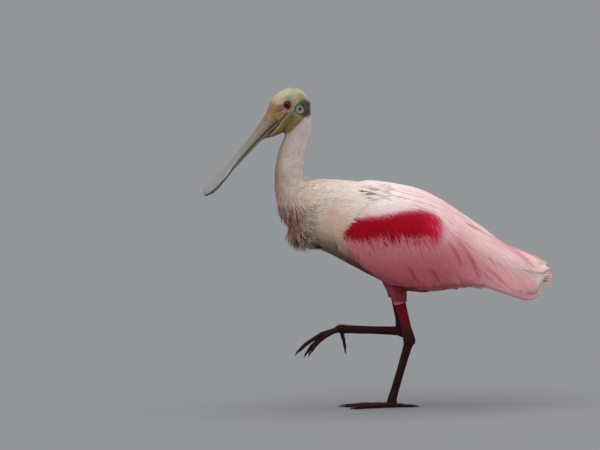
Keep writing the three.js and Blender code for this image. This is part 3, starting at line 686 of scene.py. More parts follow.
def remeshed(piece, voxel, rounds):
    """Melts a piece's solids into one skin."""
    melt = piece.modifiers.new("melt", "REMESH")
    melt.mode = "VOXEL"
    melt.voxel_size = voxel
    relax = piece.modifiers.new("relax", "SMOOTH")
    relax.iterations = rounds
    relax.factor = 0.5
    applied(piece)


FLESH = (
    "torso",
    "neck_upper",
    "neck_middle",
    "neck_lower",
    "head",
    "throat_pouch",
    "thigh_left",
    "thigh_right",
)


def bare_share(points):
    """1 on the bare skin of the head, 0 where feathers grow."""
    h = to_head(points)
    u, v, w = h[:, 0], np.abs(h[:, 1]), h[:, 2]
    edge = -31 + 0.10 * np.maximum(w + 8, 0) + 0.62 * np.maximum(-w - 20, 0)
    edge = edge + 6 * smooth(12, 5, v) * smooth(-8, -14, w)
    inside = smooth(edge - 2.5, edge + 2.5, u)
    return inside * (np.linalg.norm(h, axis=1) < 75) * smooth(-33.5, -31, w)


def nape_share(points):
    """1 on the fuller feathers at the back of the head, behind the black band."""
    h = to_head(points)
    middle = smooth(12, 6, np.abs(h[:, 1]))
    return middle * smooth(-20, -28, h[:, 0]) * smooth(-10, -26, h[:, 2]) * smooth(-95, -55, h[:, 2])


CUFF_TUCK = 3.0


def cuff_share(points):
    """1 at the thighs' lower ends, where the skin is drawn down over the shins."""
    left = smooth(178, 170, points[:, 2])
    right = smooth(186, 178, points[:, 2]) * (points[:, 1] > 0)
    return np.minimum(left + right, 1)


def build_skin():
    """One skin over the flesh, as deep under the coat's outline as the feathers need."""
    skin = joined_copy(FLESH, "skin")
    remeshed(skin, settings().skin_voxel, 4)
    points = vertex_points(skin)
    normals = vertex_normals(skin)
    bare = bare_share(points)
    depth = settings().coat_depth / MM
    thigh = smooth(205, 192, points[:, 2]) * smooth(-60, -40, points[:, 0])
    coat = np.minimum(depth, 2.2 + 0.01 * np.abs(points[:, 0] + 150))
    coat = coat * (1 - bare) * (1 - 0.85 * thigh) * (1 - 0.9 * nape_share(points))
    points = points - normals * coat[:, None]
    points[:, 2] -= CUFF_TUCK * thigh * cuff_share(points)
    points = points + normals * (face_relief(points) * bare)[:, None]
    move_vertices(skin, points)
    # under the coat the skin has the coat's colour darkened: painted shade between the feathers
    colour = coat_colour(points) * 0.8
    colour = mix(colour, thigh_colour(points), thigh)
    colour = mix(colour, face_colour(points), bare)
    paint(skin, "Tint", colour)
    skin.data.materials.append(made_once("skin", skin_material))
    add_bake_map(skin, skin_place(points))
    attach(skin, BODY)
    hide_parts(*FLESH)
    return skin


def face_relief(points):
    """Folds of the face: how far the skin stands out or sinks, in millimetres."""
    u, _, w = to_head(points).T
    relief = 0.45 * waves(points, 6, 51) + 0.32 * waves(points, 3.4, 52)
    relief += 0.7 * hill(w - 8.5 - 0.12 * u, 0, 2.6) * hill(u, 1, 12)
    relief -= 1.3 * hill(above_gape(u, w), 0, 2.4) * smooth(7, 13, u)
    relief -= 0.9 * hill(above_crease(u, w), 0, 2.2) * hill(u, 16, 8)
    eye = np.hypot(u - EYE_AT[0], w - EYE_AT[2])
    relief += 0.5 * hill(eye, 12.5, 2.0) * smooth(3, -8, w)
    relief -= 0.7 * hill(eye, 10.3, 1.5)
    relief -= 0.5 * hill(u + 0.55 * (w + 12) + 3.5, 0, 3.0) * hill(w, -12, 12)
    cheek = np.sin(0.9 * w + 0.5 * u + 1.3 * waves(points, 9, 53))
    relief += 0.22 * cheek * smooth(-8, 4, u) * smooth(-4, -12, w)
    return relief


# The unwrap that every tuft's patch lies on: bands of the body by distance along it and angle round it


def skin_place(points):
    """Where a point of the body lies on the skin's unwrap, each from 0 to 1."""
    points = np.asarray(points, float)
    x, y, z = points.T
    down, _ = neck_distance(points)
    line = read(NECK_LINE, down)
    on_neck = (z > 330) & (x < -105)
    turn_neck = np.arctan2(y, -(x - line[:, 0]) + 1e-6) / (2 * math.pi) + 0.5
    turn_body = np.arctan2(y, z - 280 + 0.35 * np.maximum(x, 0)) / (2 * math.pi) + 0.5
    along = np.where(on_neck, (down + 60) / 260, (x + 180) / 460)
    u = np.where(on_neck, 0.02 + 0.30 * turn_neck, 0.34 + 0.36 * turn_body)
    v = 0.02 + 0.94 * np.clip(along, 0, 1)
    return np.stack([u, v], axis=1)


def add_bake_map(piece, places):
    """A map named OFBake from a place for each vertex."""
    layer = piece.data.uv_layers.new(name="OFBake")
    layer.data.foreach_set("uv", places[loop_vertices(piece)].astype(np.float32).ravel())
    piece.data.uv_layers.active = layer


# Tufts: thin pointed blades of sixteen triangles, ridged along the middle.
# Width of a tuft's patch on the map, a tuft's usual thickness and its root's depth in the skin.
PATCH = 0.003
FINE_THICK = 0.25
ROOT_DEEP = 0.3
# A blade's rows of points: shares along it, and how wide it is there.
STEPS_ALONG = np.array([0.0, 0.4, 0.75, 1.0])
SHARES_ACROSS = (0.55, 1.0, 0.72)
# Three points for each of a blade's rows, and one for its tip.
BLADE_ROWS = np.array([0, 0, 0, 1, 1, 1, 2, 2, 2, 3])
BLADE_POINTS = len(BLADE_ROWS)
SHOULDER_TUFTS = 5200
BREAST_TUFTS = 2600
THIGH_TUFTS = 5200
TAIL_TUFTS = 1500


def blade_triangles():
    """A closed blade: three sides between three rows of points, a pointed tip and a base."""
    triangles = []
    for row in range(2):
        for corner in range(3):
            a = row * 3 + corner
            b = row * 3 + (corner + 1) % 3
            triangles += [(a, b, b + 3), (a, b + 3, a + 3)]
    triangles += [(6, 7, 9), (7, 8, 9), (8, 6, 9), (0, 2, 1)]
    return np.array(triangles)


BLADE_TRIANGLES = blade_triangles()


def surface_of(*pieces):
    """The surface of some pieces together, to lay tufts on, in millimetres."""
    points, faces = [], []
    for piece in pieces:
        faces += (triangle_corners(piece) + len(points)).tolist()
        points += vertex_points(piece).tolist()
    return BVHTree.FromPolygons(points, faces)


def straight_spines(root, aim, normal, length, curl):
    """Middle lines of tufts that stand by themselves, bent back towards the skin by curl."""
    t = STEPS_ALONG[None, :, None]
    out = aim[:, None] * length[:, None, None] * t
    back = normal[:, None] * curl[:, None, None] * t * t
    return root[:, None] + out - back, np.repeat(normal[:, None], len(STEPS_ALONG), axis=1)


def laid_spines(tree, root, aim, normal, length, rise, above=0.0):
    """Middle lines of tufts that lie along a surface, their tips rise millimetres above it.

    The surface is sought from above millimetres outside, or is the nearest one where above is 0.
    """
    spine, normals = straight_spines(root, aim, normal, length, np.zeros(len(root)))
    for i in range(len(root)):
        for k in range(1, len(STEPS_ALONG)):
            here, out = Vector(spine[i, k]), Vector(normals[i, k])
            hit = None
            if above:
                hit, facing, _, _ = tree.ray_cast(here + out * above, -out, 2 * above + 6)
            if hit is None:
                hit, facing, _, _ = tree.find_nearest(here)
            if above and facing.dot(out) < 0:
                facing = -facing
            spine[i, k] = hit
            if facing.dot(out) > 0.3:
                normals[i, k] = 0.5 * normals[i, k] + 0.5 * np.array(facing)
    normals = unit(normals)
    spine += normals * (rise[:, None] * STEPS_ALONG[None] + 0.1)[..., None]
    return spine, normals


def blades(spine, normals, width, thick, places):
    """Many blades along their middle lines; returns points, triangles, map, shares along and normals."""
    count = len(spine)
    side = unit(np.cross(normals, np.gradient(spine, axis=1)))
    points = np.empty((count, BLADE_POINTS, 3))
    maps = np.empty((count, BLADE_POINTS, 2))
    for row, share in enumerate(SHARES_ACROSS):
        t = STEPS_ALONG[row]
        half = (0.5 * width * share)[:, None]
        points[:, row * 3] = spine[:, row] - side[:, row] * half
        points[:, row * 3 + 1] = spine[:, row] + side[:, row] * half
        points[:, row * 3 + 2] = spine[:, row] + normals[:, row] * thick * (1 - 0.4 * t)
        maps[:, row * 3] = (-0.5 * share, t)
        maps[:, row * 3 + 1] = (0.5 * share, t)
        maps[:, row * 3 + 2] = (0, t)
    points[:, 9] = spine[:, 3]
    maps[:, 9] = (0, 1)
    maps = places[:, None, :] + PATCH * (maps - np.array([0, 0.5]))
    triangles = BLADE_TRIANGLES[None] + BLADE_POINTS * np.arange(count)[:, None, None]
    shares = np.tile(STEPS_ALONG[BLADE_ROWS], (count, 1))
    leans = normals[:, BLADE_ROWS].reshape(-1, 3)
    return points.reshape(-1, 3), triangles.reshape(-1, 3), maps.reshape(-1, 2), shares, leans


# Large odd numbers that give each cell of space a key of its own.
CELL_KEYS = (73856093, 19349663, 83492791)


def scattered(piece, keep, count, rng):
    """Even random points over a piece's faces where keep(points) is true, with their normals."""
    corners = triangle_corners(piece)
    points = vertex_points(piece)
    normals = vertex_normals(piece)
    middle = points[corners].mean(axis=1)
    corners = corners[keep(middle)]
    a, b, c = points[corners[:, 0]], points[corners[:, 1]], points[corners[:, 2]]
    area = np.linalg.norm(np.cross(b - a, c - a), axis=1) / 2
    spaced = int(count * 1.6)
    ranks = (np.arange(spaced) + rng.uniform(0, 1, spaced)) / spaced * area.sum()
    chosen = np.searchsorted(np.cumsum(area), ranks).clip(0, len(area) - 1)
    chosen = rng.permutation(chosen)
    s, t = rng.uniform(0, 1, (2, spaced))
    over = s + t > 1
    s[over], t[over] = 1 - s[over], 1 - t[over]
    face = corners[chosen]
    weights = np.stack([1 - s - t, s, t], axis=1)[:, :, None]
    at = (points[face] * weights).sum(axis=1)
    facing = (normals[face] * weights).sum(axis=1)
    spacing = math.sqrt(area.sum() / count) * 0.8
    cells = np.floor(at / spacing).astype(np.int64)
    key = cells[:, 0] * CELL_KEYS[0] ^ cells[:, 1] * CELL_KEYS[1] ^ cells[:, 2] * CELL_KEYS[2]
    _, first = np.unique(key, return_index=True)
    first = np.sort(first)[:count]
    return at[first], unit(facing[first])


def flow(points, normals):
    """The way the coat lies at each point: down the neck, back along the body, down the legs."""
    x, _, z = points.T
    _, run = neck_distance(points)
    back = np.tile(np.array([1.0, 0.0, -0.12]), (len(points), 1))
    back[:, 2] -= 0.45 * smooth(20, 120, x) * smooth(250, 300, z)
    back[:, 2] -= 0.75 * smooth(330, 240, z) * smooth(-40, -130, x)
    on_neck = smooth(-112, -140, x + 0.25 * (z - 330)) * smooth(310, 345, z)
    aim = back * (1 - on_neck)[:, None] + run * on_neck[:, None]
    breast = smooth(-130, -158, x) * smooth(345, 320, z)
    aim = aim * (1 - breast)[:, None] + np.array([0.45, 0, -1.0]) * breast[:, None]
    leg = smooth(222, 204, z) * smooth(-70, -50, x) * smooth(60, 40, x)
    aim = aim * (1 - leg)[:, None] + np.array([0.15, 0, -1.0]) * leg[:, None]
    return along_surface(aim, normals)


def clumped(aim, normal, turn):
    """Directions turned aside by a share for each, so that the coat lies in clumps."""
    return unit(aim + np.cross(normal, aim) * turn[:, None])


def laid(aim, normal, lift, stray, rng):
    """Directions lifted off the skin by an angle and turned aside a little at random."""
    side = np.cross(normal, aim)
    turn = rng.normal(0, 1, len(aim)) * stray
    turned = aim * np.cos(turn)[:, None] + side * np.sin(turn)[:, None]
    rise = lift + rng.normal(0, 0.4, len(aim)) * lift
    return unit(turned * np.cos(rise)[:, None] + normal * np.sin(rise)[:, None])


def soften(piece, leans, share):
    """Leans the coat's shading towards the skin's own, so that it looks soft and not like straws."""
    own = vertex_normals(piece)
    share = (share * smooth(-0.95, -0.15, leans[:, 2]))[:, None]
    soft = unit(own * (1 - share) + leans * share)
    piece.data.normals_split_custom_set_from_vertices(soft.tolist())


def shaded(colour, shares, rng, root_dark, vary):
    """Each blade's colour, darker in the shade of its root and a little different from its neighbours."""
    count = len(colour)
    own = 1 + rng.normal(0, vary, (count, 1, 1))
    along = root_dark + (1 - root_dark) * shares[:, :, None]
    return (colour[:, None, :] * own * along).reshape(-1, 3)


def coat_piece(name, points, triangles, maps, colours, leans, softness):
    """One piece of the coat, with the plumage's finish."""
    piece = add_triangles(name, points, triangles, made_once("plumage", plumage_material))
    soften(piece, leans, softness)
    paint(piece, "Tint", colours)
    add_bake_map(piece, maps)


def grown(name, spines, width, thick, places, colour, rng, root_dark, vary, softness):
    """One piece of the coat from its tufts' middle lines, widths and colours."""
    points, triangles, maps, shares, leans = blades(*spines, width, thick, places)
    tinted = shaded(colour, shares, rng, root_dark, vary)
    coat_piece(name, points, triangles, maps, tinted, leans, softness)


def under_wing(points):
    """True where a folded wing lies over the body."""
    x, y, z = points.T
    inside = ((x - ARM["x"]) / (ARM["long"] - 10)) ** 2 + ((z - ARM["z"]) / (ARM["high"] - 10)) ** 2 < 1
    tail_side = (x > 10) & (z > 212 - 0.1 * x) & (z < 325 - 0.45 * x)
    return (inside | tail_side) & (np.abs(y) > 22)


def neck_coat(skin):
    """Fine hair-like feathers of the neck and nape."""
    rng = np.random.default_rng(SEED)

    def keep(p):
        return (p[:, 0] < -116) & (p[:, 2] > 326) & (bare_share(p) < 0.5)

    at, normal = scattered(skin, keep, settings().neck_tufts, rng)
    count = len(at)
    clump = waves(at, 13, 61)
    aim = clumped(flow(at, normal), normal, 0.22 * clump)
    lower = smooth(430, 340, at[:, 2])
    nape = nape_share(at)
    near_face = smooth(58, 40, side_reach(at)) * (1 - nape)
    length = (11.0 + 4.0 * lower) * rng.uniform(0.75, 1.2, count) * (1 - 0.45 * near_face) * (1 + 0.5 * nape)
    width = (1.1 + 1.0 * lower - 0.3 * nape) * rng.uniform(0.7, 1.3, count)
    aim = laid(aim, normal, 0.0, 0.12, rng)
    rise = (0.8 + 0.8 * lower + 3.0 * nape) * (1 + 0.3 * clump) * rng.uniform(0.6, 1.4, count)
    colour = coat_colour(at + aim * (0.3 * length)[:, None])
    spines = laid_spines(surface_of(skin), at - normal * ROOT_DEEP, aim, normal, length, rise)
    grown("neck_coat", spines, width, 0.3, skin_place(at), colour, rng, 0.9, 0.05, 0.8)


def body_coat(skin):
    """Contour feathers of the back, breast, flanks and belly, in two layers."""
    rng = np.random.default_rng(SEED + 1)

    def keep(p):
        flesh = (p[:, 2] <= 345) | (p[:, 0] > -118)
        thigh = (p[:, 2] < 203) & (p[:, 0] > -60)
        return flesh & ~thigh & ~under_wing(p) & (p[:, 0] > -175) & (p[:, 2] < 380)

    tree = surface_of(skin)
    for part, fine in (("under", 1.0), ("over", 0.72)):
        at, normal = scattered(skin, keep, settings().body_tufts, rng)
        count = len(at)
        aim = clumped(flow(at, normal), normal, 0.12 * waves(at, 26, 71))
        low = smooth(290, 230, at[:, 2])
        belly = smooth(225, 205, at[:, 2])
        front = smooth(-60, -140, at[:, 0])
        length = (21 + 6 * low - 7 * front - 10 * belly) * rng.uniform(0.75, 1.2, count)
        width = (3.0 - 0.9 * front) * fine * rng.uniform(0.7, 1.25, count)
        aim = laid(aim, normal, 0.0, 0.08 + 0.05 * front, rng)
        rise = (0.5 + 0.7 * front) * rng.uniform(0.6, 1.4, count)
        colour = coat_colour(at + aim * (0.5 * length)[:, None])
        spines = laid_spines(tree, at - normal * ROOT_DEEP, aim, normal, length, rise)
        place = skin_place(at)
        name = f"body_coat_{part}"
        grown(name, spines, width, FINE_THICK, place, colour, rng, 0.96, 0.025, 0.9)


def shoulder_coat(skin):
    """Feathers of the breast's side that lie over the front edge of each folded wing."""
    rng = np.random.default_rng(SEED + 4)

    def keep(p):
        x, y, z = p.T
        rim = np.hypot((x - ARM["x"]) / ARM["long"], (z - ARM["z"]) / ARM["high"])
        return (rim > 1.0) & (rim < 1.32) & (x < -28) & (z > 238) & (z < 357) & (np.abs(y) > 20)

    at, normal = scattered(skin, keep, SHOULDER_TUFTS, rng)
    count = len(at)
    aim = laid(flow(at, normal), normal, 0.30, 0.10, rng)
    length = rng.uniform(22, 34, count) * (1 - 0.4 * hill(at[:, 2], 288, 22))
    width = rng.uniform(1.6, 2.8, count)
    colour = coat_colour(at + aim * (0.3 * length)[:, None])
    wings = [bpy.data.objects[f"wing_{side}_feathers"] for side in ("left", "right")]
    tree = surface_of(skin, *wings)
    rise = rng.uniform(0.4, 1.2, count)
    spines = laid_spines(tree, at - normal * ROOT_DEEP, aim, normal, length, rise, above=22.0)
    place = skin_place(at)
    grown("shoulder_coat", spines, width, FINE_THICK, place, colour, rng, 0.96, 0.03, 0.9)


def breast_tuft(skin):
    """Shaggy wisps that hang from the base of the neck."""
    rng = np.random.default_rng(SEED + 2)

    def keep(p):
        return (p[:, 0] < -128) & (p[:, 2] < 335) & (p[:, 2] > 250)

    at, normal = scattered(skin, keep, BREAST_TUFTS, rng)
    count = len(at)
    aim = clumped(flow(at, normal), normal, 0.35 * waves(at, 9, 81))
    front = smooth(-132, -155, at[:, 0])
    length = (15 + 10 * front) * rng.uniform(0.7, 1.25, count)
    aim = laid(aim, normal, 0.2 + 0.12 * rng.uniform(0, 1, count), 0.2, rng)
    colour = coat_colour(at + aim * (0.6 * length)[:, None])
    spines = straight_spines(at - normal * 2 * ROOT_DEEP, aim, normal, length, 0.12 * length)
    width = rng.uniform(1.0, 2.0, count)
    grown("breast_tuft", spines, width, 0.35, skin_place(at), colour, rng, 0.8, 0.1, 0.45)


def thigh_coat(skin):
    """Short dark feathers of the thighs, ragged at the cuff."""
    rng = np.random.default_rng(SEED + 3)

    def keep(p):
        return (p[:, 2] < 215) & (p[:, 2] > 176) & (p[:, 0] > -62) & (p[:, 0] < 50)

    at, normal = scattered(skin, keep, THIGH_TUFTS, rng)
    count = len(at)
    aim = laid(flow(at, normal), normal, 0.0, 0.12, rng)
    length = rng.uniform(7, 12, count) * (1 - 0.35 * smooth(190, 176, at[:, 2]))
    width = rng.uniform(1.2, 2.2, count)
    rise = rng.uniform(0.3, 0.9, count)
    spines = laid_spines(surface_of(skin), at, aim, normal, length, rise)
    place = skin_place(at)
    colour = thigh_colour(at)
    grown("thigh_coat", spines, width, FINE_THICK, place, colour, rng, 0.85, 0.09, 0.8)


# Wings: each is worked out with y pointing outwards, and mirrored for the bird's left

MIRROR = np.array([1.0, -1.0, 1.0])


def envelope(x, degrees):
    """Points of a wing's envelope at positions along x and angles round the body (90 is the top)."""
    top, wide, bottom, half = np.moveaxis(read(ENVELOPE, x), -1, 0)
    power = 2 / SECTION_POWER
    c, s = np.cos(np.radians(degrees)), np.sin(np.radians(degrees))
    reach = np.where(s >= 0, top - wide, wide - bottom)
    y = half * np.sign(c) * np.abs(c) ** power
    z = wide + reach * np.sign(s) * np.abs(s) ** power
    return np.stack([x, y, z], axis=-1)


def angle_at(x, z):
    """The angle round the envelope at which its side is at a height."""
    top, wide, bottom, _ = np.moveaxis(read(ENVELOPE, x), -1, 0)
    share = np.where(z >= wide, (z - wide) / (top - wide), (z - wide) / (wide - bottom))
    s = np.minimum(np.abs(share), 0.999) ** (SECTION_POWER / 2)
    return np.degrees(np.sign(share) * np.arcsin(s))


def slopes(x, degrees):
    """How the envelope runs along x and round the body at each place, and which way it faces."""
    step = 0.5
    along = (envelope(x + step, degrees) - envelope(x - step, degrees)) / (2 * step)
    around = (envelope(x, degrees + step) - envelope(x, degrees - step)) / (2 * step)
    normal = unit(np.cross(along, around))
    inward = np.where(np.abs(normal[..., 1:2]) > 0.2, normal[..., 1:2], normal[..., 2:3]) < 0
    normal = np.where(inward, -normal, normal)
    return along, around, normal


def off_envelope(x, degrees, shift, lift):
    """Points of the envelope moved within it by a vector, then lifted off it."""
    along, around, _ = slopes(x, degrees)
    a = (along * along).sum(-1)
    b = (along * around).sum(-1)
    c = (around * around).sum(-1)
    p = (along * shift).sum(-1)
    q = (around * shift).sum(-1)
    det = a * c - b * b
    to_x = x + (p * c - q * b) / det
    to_angle = np.minimum(degrees + (q * a - p * b) / det, 88)
    normal = slopes(to_x, to_angle)[2]
    return envelope(to_x, to_angle) + normal * np.asarray(lift)[..., None], normal


class Plumes:
    """Collects many feathers' points, faces, colours and maps, to become one mesh."""

    def __init__(self):
        """Starts with no feathers."""
        self.points = []
        self.triangles = []
        self.colours = []
        self.maps = []
        self.barbs = []
        self.count = 0

    def add(self, face, under, colours, under_shade, maps, barbs):
        """Adds a sheet by the grids of its face and underside, which has the face's colour in shade."""
        rows, columns = face.shape[:2]
        points = np.concatenate([face.reshape(-1, 3), under.reshape(-1, 3)])
        self.points.append(points)
        self.triangles.append(grid_solid(rows, columns) + self.count)
        self.colours.append(np.concatenate([colours, colours * under_shade]))
        self.maps.append(np.concatenate([maps, maps]))
        self.barbs.append(np.concatenate([barbs, barbs]))
        self.count += len(points)

    def build(self, name, mirror=False):
        """Makes the piece, mirrored where asked."""
        points = np.concatenate(self.points)
        triangles = np.concatenate(self.triangles)
        if mirror:
            points = points * MIRROR
            triangles = triangles[:, ::-1]
        piece = add_triangles(name, points, triangles, made_once("vane", vane_material))
        paint(piece, "Tint", np.concatenate(self.colours))
        add_bake_map(piece, np.concatenate(self.maps))
        layer = piece.data.uv_layers.new(name="Barbs")
        barbs = np.concatenate(self.barbs)[loop_vertices(piece)]
        layer.data.foreach_set("uv", barbs.astype(np.float32).ravel())
        return piece


@functools.lru_cache
def grid_solid(rows, columns):
    """Triangles of a thin closed sheet: its face, its back and its rim."""
    triangles = []
    back = rows * columns
    for r in range(rows - 1):
        for c in range(columns - 1):
            p = r * columns + c
            q = p + columns
            triangles += [(p, p + 1, q + 1), (p, q + 1, q)]
            triangles += [(p + back, q + 1 + back, p + 1 + back)]
            triangles += [(p + back, q + back, q + 1 + back)]
    rim = list(range(columns))
    rim += [(r + 1) * columns - 1 for r in range(1, rows)]
    rim += [rows * columns - 1 - c for c in range(1, columns)]
    rim += [(rows - 1 - r) * columns for r in range(1, rows - 1)]
    for i, p in enumerate(rim):
        n = rim[(i + 1) % len(rim)]
        triangles += [(p, p + back, n + back), (p, n + back, n)]
    return np.array(triangles)


# A large feather: its thickness, grid, tilt over the next one, stray of its tip and shade beneath.
VANE_THICK = 0.45
VANE_ROWS = 13
VANE_COLUMNS = 7
VANE_TILT = 0.12
TIP_STRAY = 1.2
UNDER_SHADE = 0.8


def vane_grid():
    """Shares along and across a vane, one of each for every point of its face."""
    along = np.linspace(0, 1, VANE_ROWS)
    across = np.linspace(-1, 1, VANE_COLUMNS)
    return np.repeat(along, VANE_COLUMNS), np.tile(across, VANE_ROWS)


def vane_maps(place):
    """A vane's patch on the bake map, at its root's place, and the map that its barbs follow."""
    along, across = vane_grid()
    patch = np.stack([across * 0.5, along - 0.5], axis=1) * PATCH + place
    barbs = np.stack([along * 40 - np.abs(across) * 8, across], axis=1)
    return patch, barbs


def notches(s, t, splits, rng):
    """Splits between the barbs: how far the outline is cut in near the tip."""
    notch = np.zeros((VANE_ROWS, VANE_COLUMNS))
    for _ in range(splits):
        centre = rng.uniform(0.45, 0.98)
        which = rng.choice([-1, 1])
        cut = hill(s, centre, 0.07)[:, None] * smooth(0.45, 1.0, which * t)[None, :]
        notch = np.maximum(notch, rng.uniform(0.10, 0.28) * cut)
    return notch


def vane(plumes, root, tip, width, lift, rng, bend, splits):
    """One large feather on a wing's envelope from root to tip, both (x, angle)."""
    s = np.linspace(0, 1, VANE_ROWS)
    t = np.linspace(-1, 1, VANE_COLUMNS)
    share = np.minimum(1, 0.10 + 2.9 * s) * np.sqrt((1 - s) / 0.10).clip(0.05, 1)
    share = share * (0.86 + 0.14 * np.sin(math.pi * s))
    x = root[0] + (tip[0] - root[0]) * s
    a = root[1] + (tip[1] - root[1]) * s + bend * np.sin(math.pi * s)
    ahead = unit(envelope(np.gradient(x) * 0.02 + x, np.gradient(a) * 0.02 + a) - envelope(x, a))
    up = unit(np.cross(slopes(x, a)[2], ahead))
    up = np.where(up[:, 2:3] < 0, -up, up)
    across = 0.5 * width * share[:, None] * t[None, :] * (1 - notches(s, t, splits, rng))
    edge = np.abs(t)[None, :] * np.ones((VANE_ROWS, 1))
    ripple = 0.25 * np.sin(9 * s + rng.uniform(0, 6))[:, None] * edge
    camber = 0.5 * (1 - edge**2)
    high = lift - VANE_TILT * across + camber + ripple
    shift = up[:, None, :] * across[:, :, None]
    xx = np.repeat(x[:, None], VANE_COLUMNS, axis=1)
    aa = np.repeat(a[:, None], VANE_COLUMNS, axis=1)
    face, facing = off_envelope(xx, aa, shift, high)
    under = face - facing * VANE_THICK * (1 - 0.5 * edge)[:, :, None]
    own = 1 + rng.normal(0, 0.05)
    along, aside = vane_grid()
    streak = 1 + 0.05 * np.sin(aside * 14 + rng.uniform(0, 6)) * smooth(0.2, 0.9, along)
    shaft = 1 + 0.12 * hill(aside, 0, 0.12)
    tint = wing_colour(face.reshape(-1, 3)) * (own * streak * shaft)[:, None]
    place = wing_place(np.array(root[0]), np.array(root[1]))
    place = place + PATCH * np.array([0.0, rng.uniform(-0.5, 0.5)])
    plumes.add(face * MIRROR, under * MIRROR, tint, UNDER_SHADE, *vane_maps(place))


def at_height(x, z):
    """A place on the envelope's side, as (x, angle), from its x and height."""
    return (x, float(angle_at(np.array([float(x)]), np.array([float(z)]))[0]))


def tier(plumes, count, first, last, rng, bend=0.0, splits=2):
    """A row of feathers between a first and a last one, each (root, tip, width, lift)."""
    for i in range(count):
        k = i / (count - 1)
        root = [first[0][j] + (last[0][j] - first[0][j]) * k for j in range(2)]
        tip = [first[1][j] + (last[1][j] - first[1][j]) * k for j in range(2)]
        tip[0] += rng.normal(0, TIP_STRAY)
        tip[1] += rng.normal(0, TIP_STRAY * 0.35)
        width = first[2] + (last[2] - first[2]) * k
        lift = first[3] + (last[3] - first[3]) * k
        vane(plumes, root, tip, width * rng.uniform(0.95, 1.05), lift, rng, bend, splits)


# The carmine bar's upper and lower edges on the wing: x, z.
BAR_TOP = [
    [-82, 290],
    [-79, 295],
    [-62, 305],
    [-18, 310],
    [6, 314],
    [32, 318],
    [60, 315],
    [76, 306],
    [84, 296],
]
BAR_LOW = [[-82, 291], [-69, 277], [-30, 276], [20, 278], [50, 277], [76, 276], [84, 284]]


# Folds between the wing's large feathers, where shade is painted, each from (x, z) to (x, z).
FOLDS = [
    ((86, 274), (112, 229)),
    ((104, 277), (141, 207)),
    ((143, 231), (180, 200)),
    ((157, 277), (232, 226)),
    ((191, 262), (240, 236)),
    ((20, 236), (38, 204)),
    ((52, 232), (76, 204)),
]


def fold_shade(x, z):
    """1 in the painted shade of the fold between two large feathers."""
    share = np.zeros(len(x))
    for (x0, z0), (x1, z1) in FOLDS:
        long = math.hypot(x1 - x0, z1 - z0)
        along = ((x - x0) * (x1 - x0) + (z - z0) * (z1 - z0)) / long
        bulge = 5.0 * np.sin(math.pi * np.clip(along / long, 0, 1))
        aside = ((x - x0) * (z1 - z0) - (z - z0) * (x1 - x0)) / long + bulge
        line = np.where(aside > 0, smooth(9, 0, aside), smooth(-1.6, 0, aside))
        share = np.maximum(share, line * smooth(0, 16, along) * smooth(long, long - 10, along))
    return share


def wing_colour(points, stray=0.0, bar=True):
    """Colour of the wing by place; stray shifts the red bar's edges for each tuft."""
    x, _, z = points.T
    colour = np.tile(PINK, (len(points), 1))
    colour = mix(colour, ROSE, 0.75 * smooth(262, 215, z + 0.05 * x) * smooth(170, 60, x))
    colour = mix(colour, DEEP_ROSE, 0.35 * smooth(232, 196, z + 0.25 * x) * smooth(60, 0, x))
    colour = mix(colour, REAR_PINK, smooth(70, 170, x))
    colour = mix(colour, BLUSH, 0.75 * smooth(290, 318, z + 0.42 * x) * smooth(30, 110, x))
    colour = mix(colour, APRICOT, 0.4 * smooth(206, 250, x))
    slit = hill(z + 0.52 * (x - 122), 296, 2.2) * smooth(112, 124, x) * smooth(158, 146, x)
    colour = mix(colour, CARMINE * 0.6, 0.85 * slit)
    above = read(BAR_TOP, x)[:, 0]
    colour = mix(colour, BLUSH, smooth(above - 6, above + 4, z) * smooth(100, 70, x))
    colour = mix(colour, WHITE, 0.75 * smooth(above + 2, above + 22, z) * smooth(70, 0, x))
    colour = mix(colour, CREAM, smooth(-64, -84, x) * smooth(250, 276, z))
    colour = mix(colour, SHADOW_CREAM, 0.5 * smooth(-50, -80, x) * smooth(268, 246, z))
    # painted shade in the folds between the large feathers
    colour = colour * (1 - fold_shade(x, z)[:, None] * np.array([0.24, 0.50, 0.44]))
    # lower wing: a deeper rose, partly the feathers' own colour and partly painted shade
    deeper_and_shaded = smooth(282, 240, z) * smooth(190, 110, x) * smooth(-86, -60, x)
    colour = colour * (1 - deeper_and_shaded[:, None] * np.array([0.20, 0.36, 0.36]))
    beside = hill(x, 106, 34) * hill(z, 268, 28)
    colour = mix(colour, ROSE, 0.55 * beside)
    warm = smooth(-10, -70, x) * smooth(above + 4, above + 16, z)
    colour = colour * (1 - warm[:, None] * np.array([0.12, 0.19, 0.25]))
    # lighter towards the wing's end: painted light
    colour = colour * (1 + 0.22 * smooth(206, 236, x))[:, None]
    streak = waves(points * np.array([1.0, 0.3, 0.35]), 7, 91)
    colour = colour * (1 + 0.05 * streak)[:, None]
    if not bar:
        return colour
    below = read(BAR_LOW, x)[:, 0]
    glow = smooth(below - 22, below - 2, z + stray) * smooth(above + 8, above, z)
    glow = glow * smooth(-84, -74, x) * smooth(92, 70, x)
    colour = mix(colour, ROSE * 0.95, 0.8 * glow)
    red = smooth(below - 3, below + 3, z + stray) * smooth(above + 3, above - 3, z - 0.2 * stray)
    red = red * smooth(-86, -80, x + 0.1 * stray) * smooth(86, 74, x + 0.8 * stray)
    bright = smooth(36, 76, x) + 0.5 * hill(z, above, 9)
    carmine = mix(np.tile(CARMINE, (len(points), 1)), BRIGHT_CARMINE, bright)
    carmine = carmine * (1 + 0.2 * waves(points, 12, 94))[:, None]
    return mix(colour, carmine, red)


